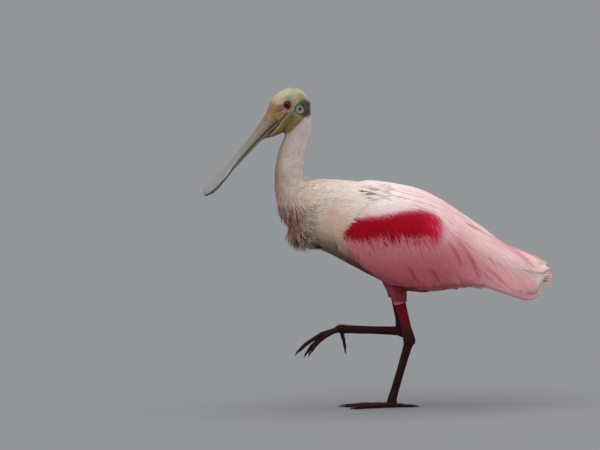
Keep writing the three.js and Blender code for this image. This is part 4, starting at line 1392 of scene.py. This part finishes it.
def build_wing(side):
    """All the feathers of one wing: tiers of vanes from the primaries up, the arm, then its soft coat."""
    rng = np.random.default_rng(SEED + 5)
    flight = Plumes()
    arm_pad(flight)
    # primaries
    lowest = (at_height(28, 230), at_height(222, 186), 27, 0.0)
    highest = (at_height(46, 248), at_height(252, 214), 24, 0.6)
    tier(flight, 7, lowest, highest, rng, bend=3, splits=3)
    # secondaries
    lowest = (at_height(0, 240), at_height(60, 199), 29, 1.4)
    highest = (at_height(58, 264), at_height(194, 199), 30, 2.2)
    tier(flight, 11, lowest, highest, rng, splits=3)
    # tertials
    lowest = (at_height(56, 276), at_height(226, 212), 27, 2.8)
    highest = ([40, 70], [250, 66], 23, 3.2)
    tier(flight, 9, lowest, highest, rng, bend=-3, splits=4)
    # the large outer feathers that show at the wing's end
    lowest = (at_height(116, 226), at_height(238, 186), 36, 4.2)
    highest = (at_height(120, 264), at_height(250, 222), 25, 4.8)
    tier(flight, 3, lowest, highest, rng)
    # greater coverts
    lowest = (at_height(-66, 262), at_height(14, 206), 25, 4.2)
    highest = (at_height(48, 276), at_height(154, 208), 28, 4.8)
    tier(flight, 13, lowest, highest, rng, bend=-2, splits=3)
    # scapulars
    lowest = (at_height(-44, 322), at_height(60, 300), 26, 2.4)
    highest = ([-30, 74], [96, 76], 24, 2.8)
    tier(flight, 6, lowest, highest, rng, bend=-3, splits=3)
    mantle(flight)
    piece = flight.build(f"wing_{side}_feathers", side == "right")
    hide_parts(f"wing_{side}")
    soft_wing(side, flight)


# The saddle's reach along the back, and to the side as a share of the half width.
MANTLE_FRONT = -66
MANTLE_REAR = 196
MANTLE_SIDE = 0.58


def mantle(plumes):
    """Half of the saddle of short feathers over the back, which closes the gap between the wings."""
    rows, columns = 31, 11
    down = np.linspace(MANTLE_FRONT, MANTLE_REAR, rows)
    x, share = np.meshgrid(down, np.linspace(0, MANTLE_SIDE, columns), indexing="ij")
    angle = angle_aside(share)
    over = smooth(MANTLE_SIDE, 0.42, share) * smooth(MANTLE_FRONT, -36, x) * smooth(MANTLE_REAR, 140, x)
    lift = -1.5 + 6.2 * over
    face = envelope(x, angle)
    normal = slopes(x, np.minimum(angle, 84))[2]
    face = face + normal * lift[..., None]
    # its inner edge reaches past the middle, so that the two halves overlap
    face[:, 0, 1] = -0.4
    under = face - np.array([0, 0, 0.5])
    tint = wing_colour(face.reshape(-1, 3), bar=False)
    place = wing_place(x.ravel(), angle.ravel())
    barbs = np.stack([x.ravel() / 6, share.ravel()], axis=1)
    plumes.add(face * MIRROR, under * MIRROR, tint, 1.0, place, barbs)


def angle_aside(share):
    """The angle round the envelope at a share of its half width from the middle of the back."""
    return np.degrees(np.arccos(share ** (SECTION_POWER / 2)))


def arm_pad(plumes):
    """The low dome of the folded arm under its coverts, darkened as painted shade."""
    rows, columns = 25, 19
    u, v = np.meshgrid(np.linspace(-1, 1, rows), np.linspace(-1, 1, columns), indexing="ij")
    a = u * np.sqrt(1 - v * v / 2)
    b = v * np.sqrt(1 - u * u / 2)
    x = ARM["x"] + ARM["long"] * a
    z = ARM["z"] + ARM["high"] * b
    lift = 0.6 + ARM["rise"] * (1 - np.clip(a * a + b * b, 0, 1))
    angle = angle_at(x, z)
    normal = slopes(x, angle)[2]
    face = envelope(x, angle) + normal * lift[..., None]
    under = envelope(x, angle) - normal * 1.5
    # darkened: painted shade under the coverts
    tint = wing_colour(face.reshape(-1, 3)) * 0.85
    place = wing_place(x.ravel(), angle.ravel())
    barbs = np.stack([u.ravel() * 40, v.ravel()], axis=1)
    plumes.add(face * MIRROR, under * MIRROR, tint, 1.0, place, barbs)


def wing_place(x, angle):
    """Where a point of the wing lies on the unwrap."""
    return np.stack([0.74 + 0.22 * (angle + 90) / 180, 0.02 + 0.9 * (x + 100) / 380], axis=-1)


def wing_flow(x, z):
    """How steeply the wing's soft feathers point down at each place, in radians below level."""
    above = read(BAR_TOP, x)[:, 0]
    over = smooth(above - 4, above + 14, z)
    steep = 72 - 16 * smooth(10, 130, x) - 20 * smooth(120, 230, x)
    top = 12 + 22 * smooth(-20, 110, x)
    return np.radians(steep * (1 - over) + top * over)


def soft_places(rng):
    """Where the soft coverts root, as x and angle: over the wing's side and a part of its back."""
    count = settings().wing_tufts * 2
    x = rng.uniform(-90, 243, count)
    z = rng.uniform(186, 356, count)
    dense = rng.uniform(0, 1, count) < np.where((x > 95) | (z < 235), 0.62, 1.0)
    x, z = x[dense], z[dense]
    over = len(x) // 4
    x = np.concatenate([x, rng.uniform(-56, 200, over)])
    angle = np.concatenate([angle_at(x[:-over], z), angle_aside(rng.uniform(0.02, 0.62, over))])
    mixed = rng.permutation(len(x))
    return x[mixed], angle[mixed]


# How far outside the wing a covert is let down from, and how far it may fall.
DROP_FROM = 25
DROP_REACH = 45


def let_down(tree, shell, normal, aim, length, loose):
    """Middle lines of coverts dropped on the large feathers, and which of them lie on these.

    A loose one may hang over the feathers' edge with all but its root.
    """
    stops = shell[:, None] + aim[:, None] * (length[:, None] * STEPS_ALONG[None])[..., None]
    margin = shell + aim * (length + 3.0)[:, None]
    keep = np.ones(len(shell), bool)
    for i in range(len(shell)):
        out = Vector(normal[i] * MIRROR)
        places = list(stops[i]) if loose[i] else [*stops[i], margin[i]]
        for k, place in enumerate(places):
            start = Vector(place * MIRROR) + out * DROP_FROM
            hit = tree.ray_cast(start, -out, DROP_REACH)[0]
            if hit is None:
                keep[i] = loose[i] and k > 0
                break
            if k < len(STEPS_ALONG):
                stops[i, k] = np.array(hit) * MIRROR
    return stops, keep


def soft_wing(side, flight):
    """Long soft coverts over the wing, with the carmine bar and its hair-like fringe."""
    rng = np.random.default_rng(SEED + 6)
    sheet = np.concatenate(flight.points)
    tree = BVHTree.FromPolygons(sheet.tolist(), np.concatenate(flight.triangles).tolist())
    x, angle = soft_places(rng)
    shell = envelope(x, angle)
    z = shell[:, 2]
    normal = slopes(x, angle)[2]
    steep = wing_flow(x, z) + 0.12 * waves(shell, 24, 93)
    aim = along_surface(np.stack([np.cos(steep), 0 * x, -np.sin(steep)], axis=1), normal)
    aim = laid(aim, normal, 0.0, 0.05, rng)
    length = rng.uniform(16, 25, len(x)) * (1 + 1.9 * smooth(60, 150, x))
    stops, keep = let_down(tree, shell, normal, aim, length, (z > 262) & (x < 90))
    keep[np.flatnonzero(keep)[settings().wing_tufts:]] = False
    normal, x, z, angle, stops = (part[keep] for part in (normal, x, z, angle, stops))
    count = len(x)
    above = read(BAR_TOP, x)[:, 0]
    red = smooth(250, 262, z) * smooth(above + 4, above - 4, z) * smooth(100, 80, x)
    width = rng.uniform(1.5, 2.6, count) * (1 - 0.3 * red)
    rise = rng.uniform(0.12, 0.45, count)
    normals = np.repeat(normal[:, None], len(STEPS_ALONG), axis=1)
    spine = stops + normals * (rise[:, None] * STEPS_ALONG[None])[..., None]
    points, triangles, maps, _, leans = blades(spine, normals, width, FINE_THICK, wing_place(x, angle))
    wisp = 5.5 * waves(np.stack([x, 0 * x, 0.25 * z], axis=1), 9, 95)
    stray = rng.normal(0, 2.5, count) + rng.exponential(6.0, count) + wisp - 2
    own = 1 + rng.normal(0, 0.03, count)
    tinted = wing_colour(points, stray=np.repeat(stray, BLADE_POINTS))
    tinted = tinted * np.repeat(own, BLADE_POINTS)[:, None]
    if side == "left":
        points = points * MIRROR
        leans = leans * MIRROR
        triangles = triangles[:, ::-1]
    coat_piece(f"wing_{side}_coverts", points, triangles, maps, tinted, leans, 0.9)


# Tail


# The tail's feathers: where the middle one roots, its length and half width, and how far they spread.
TAIL_ROOT_X = 150
TAIL_ROOT_Z = 230
TAIL_LONG = 107
TAIL_HALF_WIDTH = 11.5
TAIL_SPREAD = 17
TAIL_PAIRS = 5


def tail_vane(plumes, side, layer, rng):
    """One tail feather, leaning out from the middle by side."""
    s = np.linspace(0, 1, VANE_ROWS)
    t = np.linspace(-1, 1, VANE_COLUMNS)
    length = TAIL_LONG * (1 - 0.04 * side * side)
    share = np.minimum(1, 0.4 + 2.5 * s) * np.sqrt(np.clip((1 - s) / 0.09, 0, 1)).clip(0.05, 1)
    half = TAIL_HALF_WIDTH * share[:, None]
    out = side * TAIL_SPREAD * (0.35 + 0.65 * s)
    x = TAIL_ROOT_X + length * s[:, None] + 0 * t[None, :]
    y = out[:, None] + half * t[None, :]
    slope = (8 * side * side + 1.0) * s[:, None] + 4 * side * s[:, None] * t[None, :]
    z = TAIL_ROOT_Z - 0.3 * layer - (13 * s)[:, None] - slope - 0.6 * t[None, :] ** 2
    face = np.stack([x, y, z], axis=-1)
    under = face - np.array([0, 0, VANE_THICK])
    along, _ = vane_grid()
    colour = mix(np.tile(APRICOT, (len(along), 1)), SALMON, 0.6 * (1 - along))
    # half rear pink, brightened as painted light, and a little different for each feather
    colour = mix(colour, REAR_PINK, 0.5) * (1.12 + rng.normal(0, 0.05))
    place = np.array([0.90, 0.5 + 0.02 * layer])
    plumes.add(face, under, colour, UNDER_SHADE, *vane_maps(place))


def tail_coverts():
    """Soft feathers over and under the tail's root."""
    rng = np.random.default_rng(SEED + 9)
    count = TAIL_TUFTS
    x = rng.uniform(140, 196, count)
    turn = rng.uniform(0, 2 * math.pi, count)
    middle = 232 - 0.22 * (x - 146)
    wide = 17 * (1 - 0.25 * smooth(170, 200, x))
    high = 12 * (1 - 0.75 * smooth(150, 200, x))
    at = np.stack([x, wide * np.cos(turn), middle + high * np.sin(turn)], axis=1)
    normal = unit(np.stack([0 * x, np.cos(turn) / wide, np.sin(turn) / high], axis=1))
    aim = laid(np.tile(np.array([1, 0, -0.2]), (count, 1)), normal, 0.05, 0.12, rng)
    length = rng.uniform(22, 36, count)
    colour = mix(np.tile(PINK, (count, 1)), ROSE, 0.6 * (np.sin(turn) < 0))
    place = np.stack([0.80 + 0.08 * turn / 6.3, 0.5 + 0.3 * (x - 140) / 60], axis=1)
    width = rng.uniform(2.5, 4.5, count)
    spines = straight_spines(at, aim, normal, length, 0.03 * length)
    grown("tail_coverts", spines, width, 0.3, place, colour, rng, 0.85, 0.05, 0.8)


def build_tail():
    """A middle feather with pairs beside and under it, then the soft coverts at the root."""
    rng = np.random.default_rng(SEED + 8)
    plumes = Plumes()
    tail_vane(plumes, 0, 0, rng)
    for pair in range(1, TAIL_PAIRS + 1):
        for sign in (1, -1):
            tail_vane(plumes, sign * pair / TAIL_PAIRS, 2 * pair + (sign < 0), rng)
    piece = plumes.build("tail_feathers")
    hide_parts("tail")
    tail_coverts()


# Bill

# The bill's halves in the head's own frame. Upper: distance ahead, top, mouth line, half width.
UPPER_BILL = [
    [14, 14, -8, 13.6],
    [30, 12, -6.6, 13],
    [48, 9.8, -4.6, 11.6],
    [72, 8, -2.9, 10],
    [98, 7, -1.7, 9.3],
    [118, 6.6, -0.9, 10.2],
    [136, 6.4, 0, 14],
    [152, 6.4, 0.9, 20.5],
    [166, 6.5, 1.7, 23.7],
    [177, 6.4, 2.1, 24.5],
    [186, 5.9, 2.2, 21],
    [192, 5.1, 1.8, 12.5],
    [195, 3.9, 0.7, 4],
]
# Lower: distance ahead, half width, depth.
LOWER_BILL = [
    [14, 12.6, 9],
    [30, 12, 8],
    [48, 10.6, 7],
    [72, 9, 6.2],
    [98, 8.3, 5.6],
    [118, 9.2, 5],
    [136, 12.8, 4.2],
    [152, 19, 3.8],
    [166, 21.9, 3.6],
    [177, 22.3, 3.4],
    [186, 18.5, 2.9],
    [190, 12, 2.3],
    [193, 4, 1.6],
]


# Points along a half, over its arc and across its flat side; then where the nostril and groove are.
BILL_ROWS = 110
BILL_ARC = 33
BILL_SHUT = 9
NOSTRIL_AHEAD = 41
GROOVE_ASIDE = 0.52


def bill_relief(x, away):
    """How far the upper half sinks or stands out: grooves, nostrils, wrinkles and the nail."""
    groove = hill(away, GROOVE_ASIDE, 0.16) * smooth(30, 44, x) * smooth(182, 150, x)
    nostril = hill(away, GROOVE_ASIDE, 0.13) * hill(x, NOSTRIL_AHEAD, 5.5)
    wrinkle = np.sin(x * 1.15) * smooth(70, 30, x) * smooth(0.2, 0.9, 1 - away)
    nail = hill(x, 190, 6) * hill(away, 0, 0.5)
    return 0.9 * nail + 0.25 * wrinkle - 0.9 * groove - 2.0 * nostril


def tube_faces(rows, around):
    """Faces of a closed tube of rings, with one face over each end."""
    faces = []
    for r in range(rows - 1):
        for k in range(around):
            a = r * around + k
            b = r * around + (k + 1) % around
            faces.append((a, a + around, b + around, b))
    start = list(range(around))
    end = [(rows - 1) * around + k for k in range(around)]
    return [*faces, start, end[::-1]]


def bill_half(name, upper):
    """One half of the bill, finer than its solid, with ridges, nostrils and a nail at the tip."""
    table = UPPER_BILL if upper else LOWER_BILL
    first, last = table[0][0], table[-1][0]
    x = first + (last - first) * np.sin(np.linspace(0, math.pi / 2, BILL_ROWS)) ** 0.85
    top, mouth, half = read(UPPER_BILL, x).T
    if upper:
        sign, depth, mouth = 1.0, top - mouth, mouth + 0.15
    else:
        sign, mouth = -1.0, mouth - 0.15
        half, depth = read(LOWER_BILL, x).T
    turn = np.linspace(0, math.pi, BILL_ARC)
    rim = np.minimum(1.1, depth * 0.45)
    y = half[:, None] * np.cos(turn)[None, :]
    z = mouth[:, None] + sign * (rim[:, None] + (depth - rim)[:, None] * np.sin(turn)[None, :] ** 0.75)
    xx = np.repeat(x[:, None], BILL_ARC, axis=1)
    away = np.abs(y) / half[:, None]
    if upper:
        z += bill_relief(xx, away)
    lip = hill(away, 1.0, 0.10)
    z -= sign * 0.25 * lip * smooth(120, 150, xx)
    ring = np.stack([xx, y, z], axis=-1)
    level = np.ones((1, BILL_SHUT))
    across = -half[:, None] * 0.97 * np.linspace(1, -1, BILL_SHUT)[None, :]
    shut = np.stack([xx[:, :1] * level, across, mouth[:, None] * level], axis=-1)
    whole = np.concatenate([ring, shut], axis=1)
    around = whole.shape[1]
    points = whole.reshape(-1, 3)
    faces = tube_faces(BILL_ROWS, around)
    if not upper:
        faces = [(face[0], *face[:0:-1]) for face in faces]
    piece = add_mesh(name, from_head(points), faces, made_once("horn", horn_material))
    paint(piece, "Tint", bill_colour(points, upper))
    add_bake_map(piece, np.stack([0.5 + points[:, 1] / 120, 0.02 + points[:, 0] / 210], axis=1) * 0.98)
    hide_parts(name.replace("horn_", "bill_"))


def bill_colour(points, upper):
    """Horn grey at the spoon, warmer and wrinkled towards the face, dark along the spoon's rim, with painted
    shade along the mouth line, in the nostrils and in their grooves.
    """
    u, v, w = points.T
    _, mouth, half = read(UPPER_BILL, u).T
    away = np.abs(v) / half
    colour = mix(np.tile(HORN, (len(points), 1)), HORN_GREY, smooth(90, 150, u))
    colour = mix(colour, HORN_WARM, 0.8 * smooth(90, 36, u))
    colour = mix(colour, ORANGE_SKIN, 0.35 * smooth(44, 24, u))
    grain = waves(points * np.array([0.5, 1, 1]), 7, 41) * 0.6 + waves(points, 3.2, 42) * 0.5
    mottle = smooth(0.0, 0.8, grain)
    colour = mix(colour, DARK_HORN_AND_SHADE, (0.16 + 0.2 * smooth(80, 40, u)) * mottle)
    crease = smooth(0.3, 0.9, np.sin(u * 1.1 + 2 * waves(points, 16, 43))) * smooth(66, 40, u)
    colour = mix(colour, DARK_HORN_AND_SHADE, 0.35 * crease)
    # painted shade on the sides of both halves along the mouth line
    mouth_shade = hill(np.abs(w - mouth), 0, 1.9 + 1.3 * smooth(150, 40, u)) * smooth(0.80, 0.94, away)
    colour = mix(colour, DARK_HORN_AND_SHADE * 0.4, 0.95 * mouth_shade)
    tip = hill(np.hypot((u - 172) / 24, v / 24.5), 1.0, 0.14) * smooth(150, 170, u)
    colour = mix(colour, DARK_HORN_AND_SHADE * 0.5, 0.65 * tip)
    if upper:
        # painted shade in the nostril and along its groove
        nostril = hill(away, GROOVE_ASIDE, 0.12) * hill(u, NOSTRIL_AHEAD, 5.2)
        colour = mix(colour, DARK_HORN_AND_SHADE * 0.35, 0.95 * nostril)
        groove = hill(away, GROOVE_ASIDE, 0.10) * smooth(40, 52, u) * smooth(182, 150, u)
        colour = mix(colour, DARK_HORN_AND_SHADE, 0.3 * groove)
    return colour * (0.70 + 0.08 * smooth(90, 150, u))[:, None]


# Eyes


def eye_material():
    """Red iris with a black pupil, from the eye's own axis, under a wet coat."""
    made = bpy.data.materials.new("eye")
    made.use_nodes = True
    shader = made.node_tree.nodes["Principled BSDF"]
    shader.inputs["Roughness"].default_value = 0.08
    shader.inputs["Specular IOR Level"].default_value = 0.15
    shader.inputs["Coat Weight"].default_value = 0.1
    shader.inputs["Coat Roughness"].default_value = 0.03
    tint = made.node_tree.nodes.new("ShaderNodeVertexColor")
    tint.layer_name = "Tint"
    link(made, tint.outputs["Color"], shader.inputs["Base Color"])
    return made


# The way an eye looks, outwards being +Y, and the sizes of its parts.
GAZE = np.array([0.22, 0.95, 0.22])
IRIS_RADIUS = 5.7
PUPIL_RADIUS = 3.1
EYE_RINGS = 26
EYE_SPOKES = 40
AROUND_IRIS = linear((60, 20, 16))
PUPIL = np.array([0.004, 0.003, 0.003])


def build_eye(side):
    """An eyeball with a slightly domed cornea, at the place of its solid."""
    rings, spokes = EYE_RINGS, EYE_SPOKES
    turn = np.linspace(0, math.pi, rings + 1)[1:-1]
    spin = np.linspace(0, 2 * math.pi, spokes, endpoint=False)
    sign = 1 if side == "left" else -1
    radius = EYE_RADIUS * (1 + 0.05 * smooth(0.75, 0.0, turn))
    y = np.repeat((radius * np.cos(turn))[:, None], spokes, axis=1)
    x = (radius * np.sin(turn))[:, None] * np.cos(spin)[None, :]
    z = (radius * np.sin(turn))[:, None] * np.sin(spin)[None, :]
    points = np.stack([x, y, z], axis=-1).reshape(-1, 3)
    points = np.concatenate([points, [[0, radius[0], 0], [0, -EYE_RADIUS, 0]]])
    faces = []
    for r in range(rings - 2):
        for k in range(spokes):
            n = (k + 1) % spokes
            faces.append((r * spokes + k, r * spokes + n, (r + 1) * spokes + n, (r + 1) * spokes + k))
    out, back = len(points) - 2, len(points) - 1
    low = (rings - 2) * spokes
    for k in range(spokes):
        n = (k + 1) % spokes
        faces += [(out, n, k), (back, low + k, low + n)]
    colour = eye_colour(points)
    points = (points + EYE_AT) * np.array([1, sign, 1])
    if sign < 0:
        faces = [face[::-1] for face in faces]
    piece = add_mesh(f"eyeball_{side}", from_head(points), faces, made_once("eye", eye_material))
    paint(piece, "Tint", colour)
    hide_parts(f"eye_{side}")


def eye_colour(points):
    """Rays in the iris, its dark edge, the pupil and the dark red round them."""
    gaze = unit(GAZE)
    facing = points @ gaze
    away = np.linalg.norm(points - facing[:, None] * gaze, axis=1)
    iris = np.array(settings().iris)
    ray = 0.75 + 0.35 * np.abs(np.sin(13 * np.arctan2(points[:, 2], points[:, 0])))
    colour = np.where((away < IRIS_RADIUS)[:, None], iris * ray[:, None], AROUND_IRIS)
    colour = mix(colour, iris * 0.25, hill(away, IRIS_RADIUS - 0.3, 0.9))
    return np.where(((away < PUPIL_RADIUS) & (facing > 0))[:, None], PUPIL, colour)


# Legs

# Fineness of the legs' mesh, pitch and depth of their plates, and the middle of the lifted foot's toes.
LEG_VOXEL = 0.9 * MM
LEG_SMOOTHING = 3
SCUTE_PITCH = 4.6
SCUTE_DEEP = 0.28
LIFTED_FOOT_X = -83
LIFTED_FOOT_Z = 124
CLAW_HORN = linear((38, 32, 30))


def build_legs():
    """Bare shins, tarsi and feet: the solids' shapes made finer, in scaly skin."""
    for side in ("left", "right"):
        names = [f"shin_{side}", f"tarsus_{side}", f"foot_{side}"]
        leg = joined_copy(names, f"leg_{side}")
        remeshed(leg, LEG_VOXEL, LEG_SMOOTHING)
        points = vertex_points(leg)
        normals = vertex_normals(leg)
        raised = scute_relief(points, side)
        floor = smooth(0.0, 2.0, points[:, 2])
        points = points + normals * (raised * floor)[:, None]
        points[:, 2] = np.maximum(points[:, 2], 0.0)
        move_vertices(leg, points)
        colour = mix(np.tile(LEG_RED, (len(points), 1)), LEG_DARK, leg_dark(points, side))
        colour = colour * (1 + 0.12 * waves(points, 6, 97) + 0.5 * np.minimum(raised, 0))[:, None]
        paint(leg, "Tint", colour)
        leg.data.materials.append(made_once("leg_scales", scale_material))
        add_bake_map(leg, np.stack([(points[:, 0] + 160) / 220, points[:, 2] / 190], axis=1) * 0.96 + 0.02)
        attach(leg, BODY)
        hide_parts(*names)


def leg_dark(points, side):
    """Darker towards the ankle, tarsus and toes; the far, lifted leg darker all over as painted shade."""
    if side == "left":
        return 0.15 + 0.85 * smooth(150, 112, points[:, 2])
    # the far, lifted leg: darker all over as painted shade
    return 0.3 + 0.7 * smooth(165, 130, points[:, 2])


def scute_relief(points, side):
    """Rings of plates down the tarsus and across the toes, in millimetres."""
    if side == "left":
        along = np.where(points[:, 2] > 12, points[:, 2], np.hypot(points[:, 0], points[:, 1]))
    else:
        toes = np.hypot(points[:, 0] - LIFTED_FOOT_X, points[:, 2] - LIFTED_FOOT_Z)
        along = np.where(points[:, 0] < LIFTED_FOOT_X - 1, toes, points[:, 0])
    plate = np.abs(np.sin(math.pi * along / SCUTE_PITCH))
    return SCUTE_DEEP * (np.minimum(plate * 2.2, 1) - 1) + 0.10 * waves(points, 3, 98)


def dress_claws():
    """The solids of the claws are right: they get dark horn."""
    horn = made_once("claw", claw_material)
    for name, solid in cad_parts.items():
        if not name.startswith("claw_"):
            continue
        solid.data.materials.clear()
        solid.data.materials.append(horn)
        paint(solid, "Tint", np.tile(CLAW_HORN, (len(solid.data.vertices), 1)))


# Stage, in metres

CAMERA_LOOK = Vector((-0.147, 0.0, 0.293))
CAMERA_FAR = 12.0
CAMERA_RISE = math.radians(4)
FRAME_WIDE = 0.96
FLOOR_HALF = 120.0
FLOOR_CORNERS = ((-1, -1), (1, -1), (1, 1), (-1, 1))
# The camera's own unit for its sensor and lens is the millimetre.
SENSOR_WIDTH = 36
SUN_WIDTH = math.radians(60)
# Suns: name, place, strength, colour.
SUNS = [
    ("key", (-1.0, -1.3, 2.4), 1.25, (1.0, 0.985, 0.965)),
    ("top", (0.9, 0.5, 2.6), 1.05, (1.0, 0.99, 0.98)),
    ("fill", (1.4, -3.2, 1.0), 0.3, (0.97, 0.98, 1.0)),
]
SKY_COLOUR = (0.92, 0.95, 1.0, 1)
SKY_STRENGTH = 0.42


def build_stage():
    """A plain floor of studio paper, soft suns and an even sky."""
    floor = bpy.data.meshes.new("floor")
    corners = [(across * FLOOR_HALF, along * FLOOR_HALF, 0) for across, along in FLOOR_CORNERS]
    floor.from_pydata(corners, [], [(0, 1, 2, 3)])
    stage = bpy.data.objects.new("floor", floor)
    bpy.context.scene.collection.objects.link(stage)
    paper = bpy.data.materials.new("studio_paper")
    paper.use_nodes = True
    shader = paper.node_tree.nodes["Principled BSDF"]
    shader.inputs["Base Color"].default_value = (*settings().floor_colour, 1)
    shader.inputs["Roughness"].default_value = 0.95
    shader.inputs["Specular IOR Level"].default_value = 0.1
    floor.materials.append(paper)
    for sun in SUNS:
        add_sun(*sun)
    world = bpy.data.worlds.new("studio")
    bpy.context.scene.world = world
    world.use_nodes = True
    sky = world.node_tree.nodes["Background"]
    sky.inputs["Color"].default_value = SKY_COLOUR
    sky.inputs["Strength"].default_value = SKY_STRENGTH
    bpy.context.scene.view_settings.view_transform = "Standard"


def add_sun(name, at, strength, colour):
    """A broad soft light from one direction."""
    light = bpy.data.lights.new(name, "SUN")
    light.angle = SUN_WIDTH
    light.energy = strength
    light.color = colour
    lamp = bpy.data.objects.new(name, light)
    lamp.location = at
    lamp.rotation_euler = (-Vector(at)).to_track_quat("-Z", "Y").to_euler()
    bpy.context.scene.collection.objects.link(lamp)


def build_camera():
    """A long lens at the photograph's height and side."""
    camera = bpy.data.cameras.new("camera")
    camera.sensor_fit = "HORIZONTAL"
    camera.sensor_width = SENSOR_WIDTH
    camera.lens = SENSOR_WIDTH * CAMERA_FAR / FRAME_WIDE
    camera.clip_end = 100
    eye = bpy.data.objects.new("camera", camera)
    back = Vector((0, -math.cos(CAMERA_RISE), math.sin(CAMERA_RISE))) * CAMERA_FAR
    eye.location = CAMERA_LOOK + back
    eye.rotation_euler = (-back).to_track_quat("-Z", "Y").to_euler()
    bpy.context.scene.collection.objects.link(eye)
    bpy.context.scene.camera = eye


# Operators


class BuildStage(bpy.types.Operator):
    """Camera, floor and lights."""

    bl_idname = "spoonbill.stage"
    bl_label = "Stage"

    def execute(self, context):
        build_camera()
        build_stage()
        return {"FINISHED"}


class BuildSkin(bpy.types.Operator):
    """One skin over head, neck, body and thighs."""

    bl_idname = "spoonbill.skin"
    bl_label = "Skin"

    def execute(self, context):
        build_skin()
        return {"FINISHED"}


class BuildCoat(bpy.types.Operator):
    """Contour feathers of neck, body, breast and thighs."""

    bl_idname = "spoonbill.coat"
    bl_label = "Coat"

    def execute(self, context):
        skin = bpy.data.objects["skin"]
        neck_coat(skin)
        body_coat(skin)
        shoulder_coat(skin)
        breast_tuft(skin)
        thigh_coat(skin)
        return {"FINISHED"}


class BuildWings(bpy.types.Operator):
    """Flight feathers and coverts of both wings."""

    bl_idname = "spoonbill.wings"
    bl_label = "Wings"

    def execute(self, context):
        build_wing("left")
        build_wing("right")
        return {"FINISHED"}


class BuildTail(bpy.types.Operator):
    """Tail feathers and their coverts."""

    bl_idname = "spoonbill.tail"
    bl_label = "Tail"

    def execute(self, context):
        build_tail()
        return {"FINISHED"}


class BuildBill(bpy.types.Operator):
    """Both halves of the spoon bill."""

    bl_idname = "spoonbill.bill"
    bl_label = "Bill"

    def execute(self, context):
        bill_half("horn_upper", True)
        bill_half("horn_lower", False)
        return {"FINISHED"}


class BuildEyes(bpy.types.Operator):
    """Both eyes."""

    bl_idname = "spoonbill.eyes"
    bl_label = "Eyes"

    def execute(self, context):
        build_eye("left")
        build_eye("right")
        return {"FINISHED"}


class BuildLegs(bpy.types.Operator):
    """Bare legs, feet and claws."""

    bl_idname = "spoonbill.legs"
    bl_label = "Legs"

    def execute(self, context):
        build_legs()
        dress_claws()
        return {"FINISHED"}


STEPS = (BuildStage, BuildSkin, BuildWings, BuildCoat, BuildTail, BuildBill, BuildEyes, BuildLegs)


class SpoonbillPanel(bpy.types.Panel):
    """Lists the parts of the spoonbill and its settings."""

    bl_idname = "VIEW3D_PT_spoonbill"
    bl_label = "Spoonbill"
    bl_space_type = "VIEW_3D"
    bl_region_type = "UI"
    bl_category = "Spoonbill"

    def draw(self, context):
        """Settings first, then a button for each part."""
        for name in BirdSettings.__annotations__:
            self.layout.prop(context.scene.spoonbill, name)
        for step in STEPS:
            self.layout.operator(step.bl_idname)


CLASSES = (BirdSettings, *STEPS, SpoonbillPanel)


def register():
    """Adds the settings, the operators and the panel to Blender."""
    for each in CLASSES:
        bpy.utils.register_class(each)
    bpy.types.Scene.spoonbill = PointerProperty(type=BirdSettings)


def unregister():
    """Takes the settings, the operators and the panel out again."""
    del bpy.types.Scene.spoonbill
    for each in reversed(CLASSES):
        bpy.utils.unregister_class(each)


def main():
    """Builds every part in order."""
    register()
    for step in STEPS:
        group, name = step.bl_idname.split(".")
        getattr(getattr(bpy.ops, group), name)()


if __name__ == "__main__":
    main()
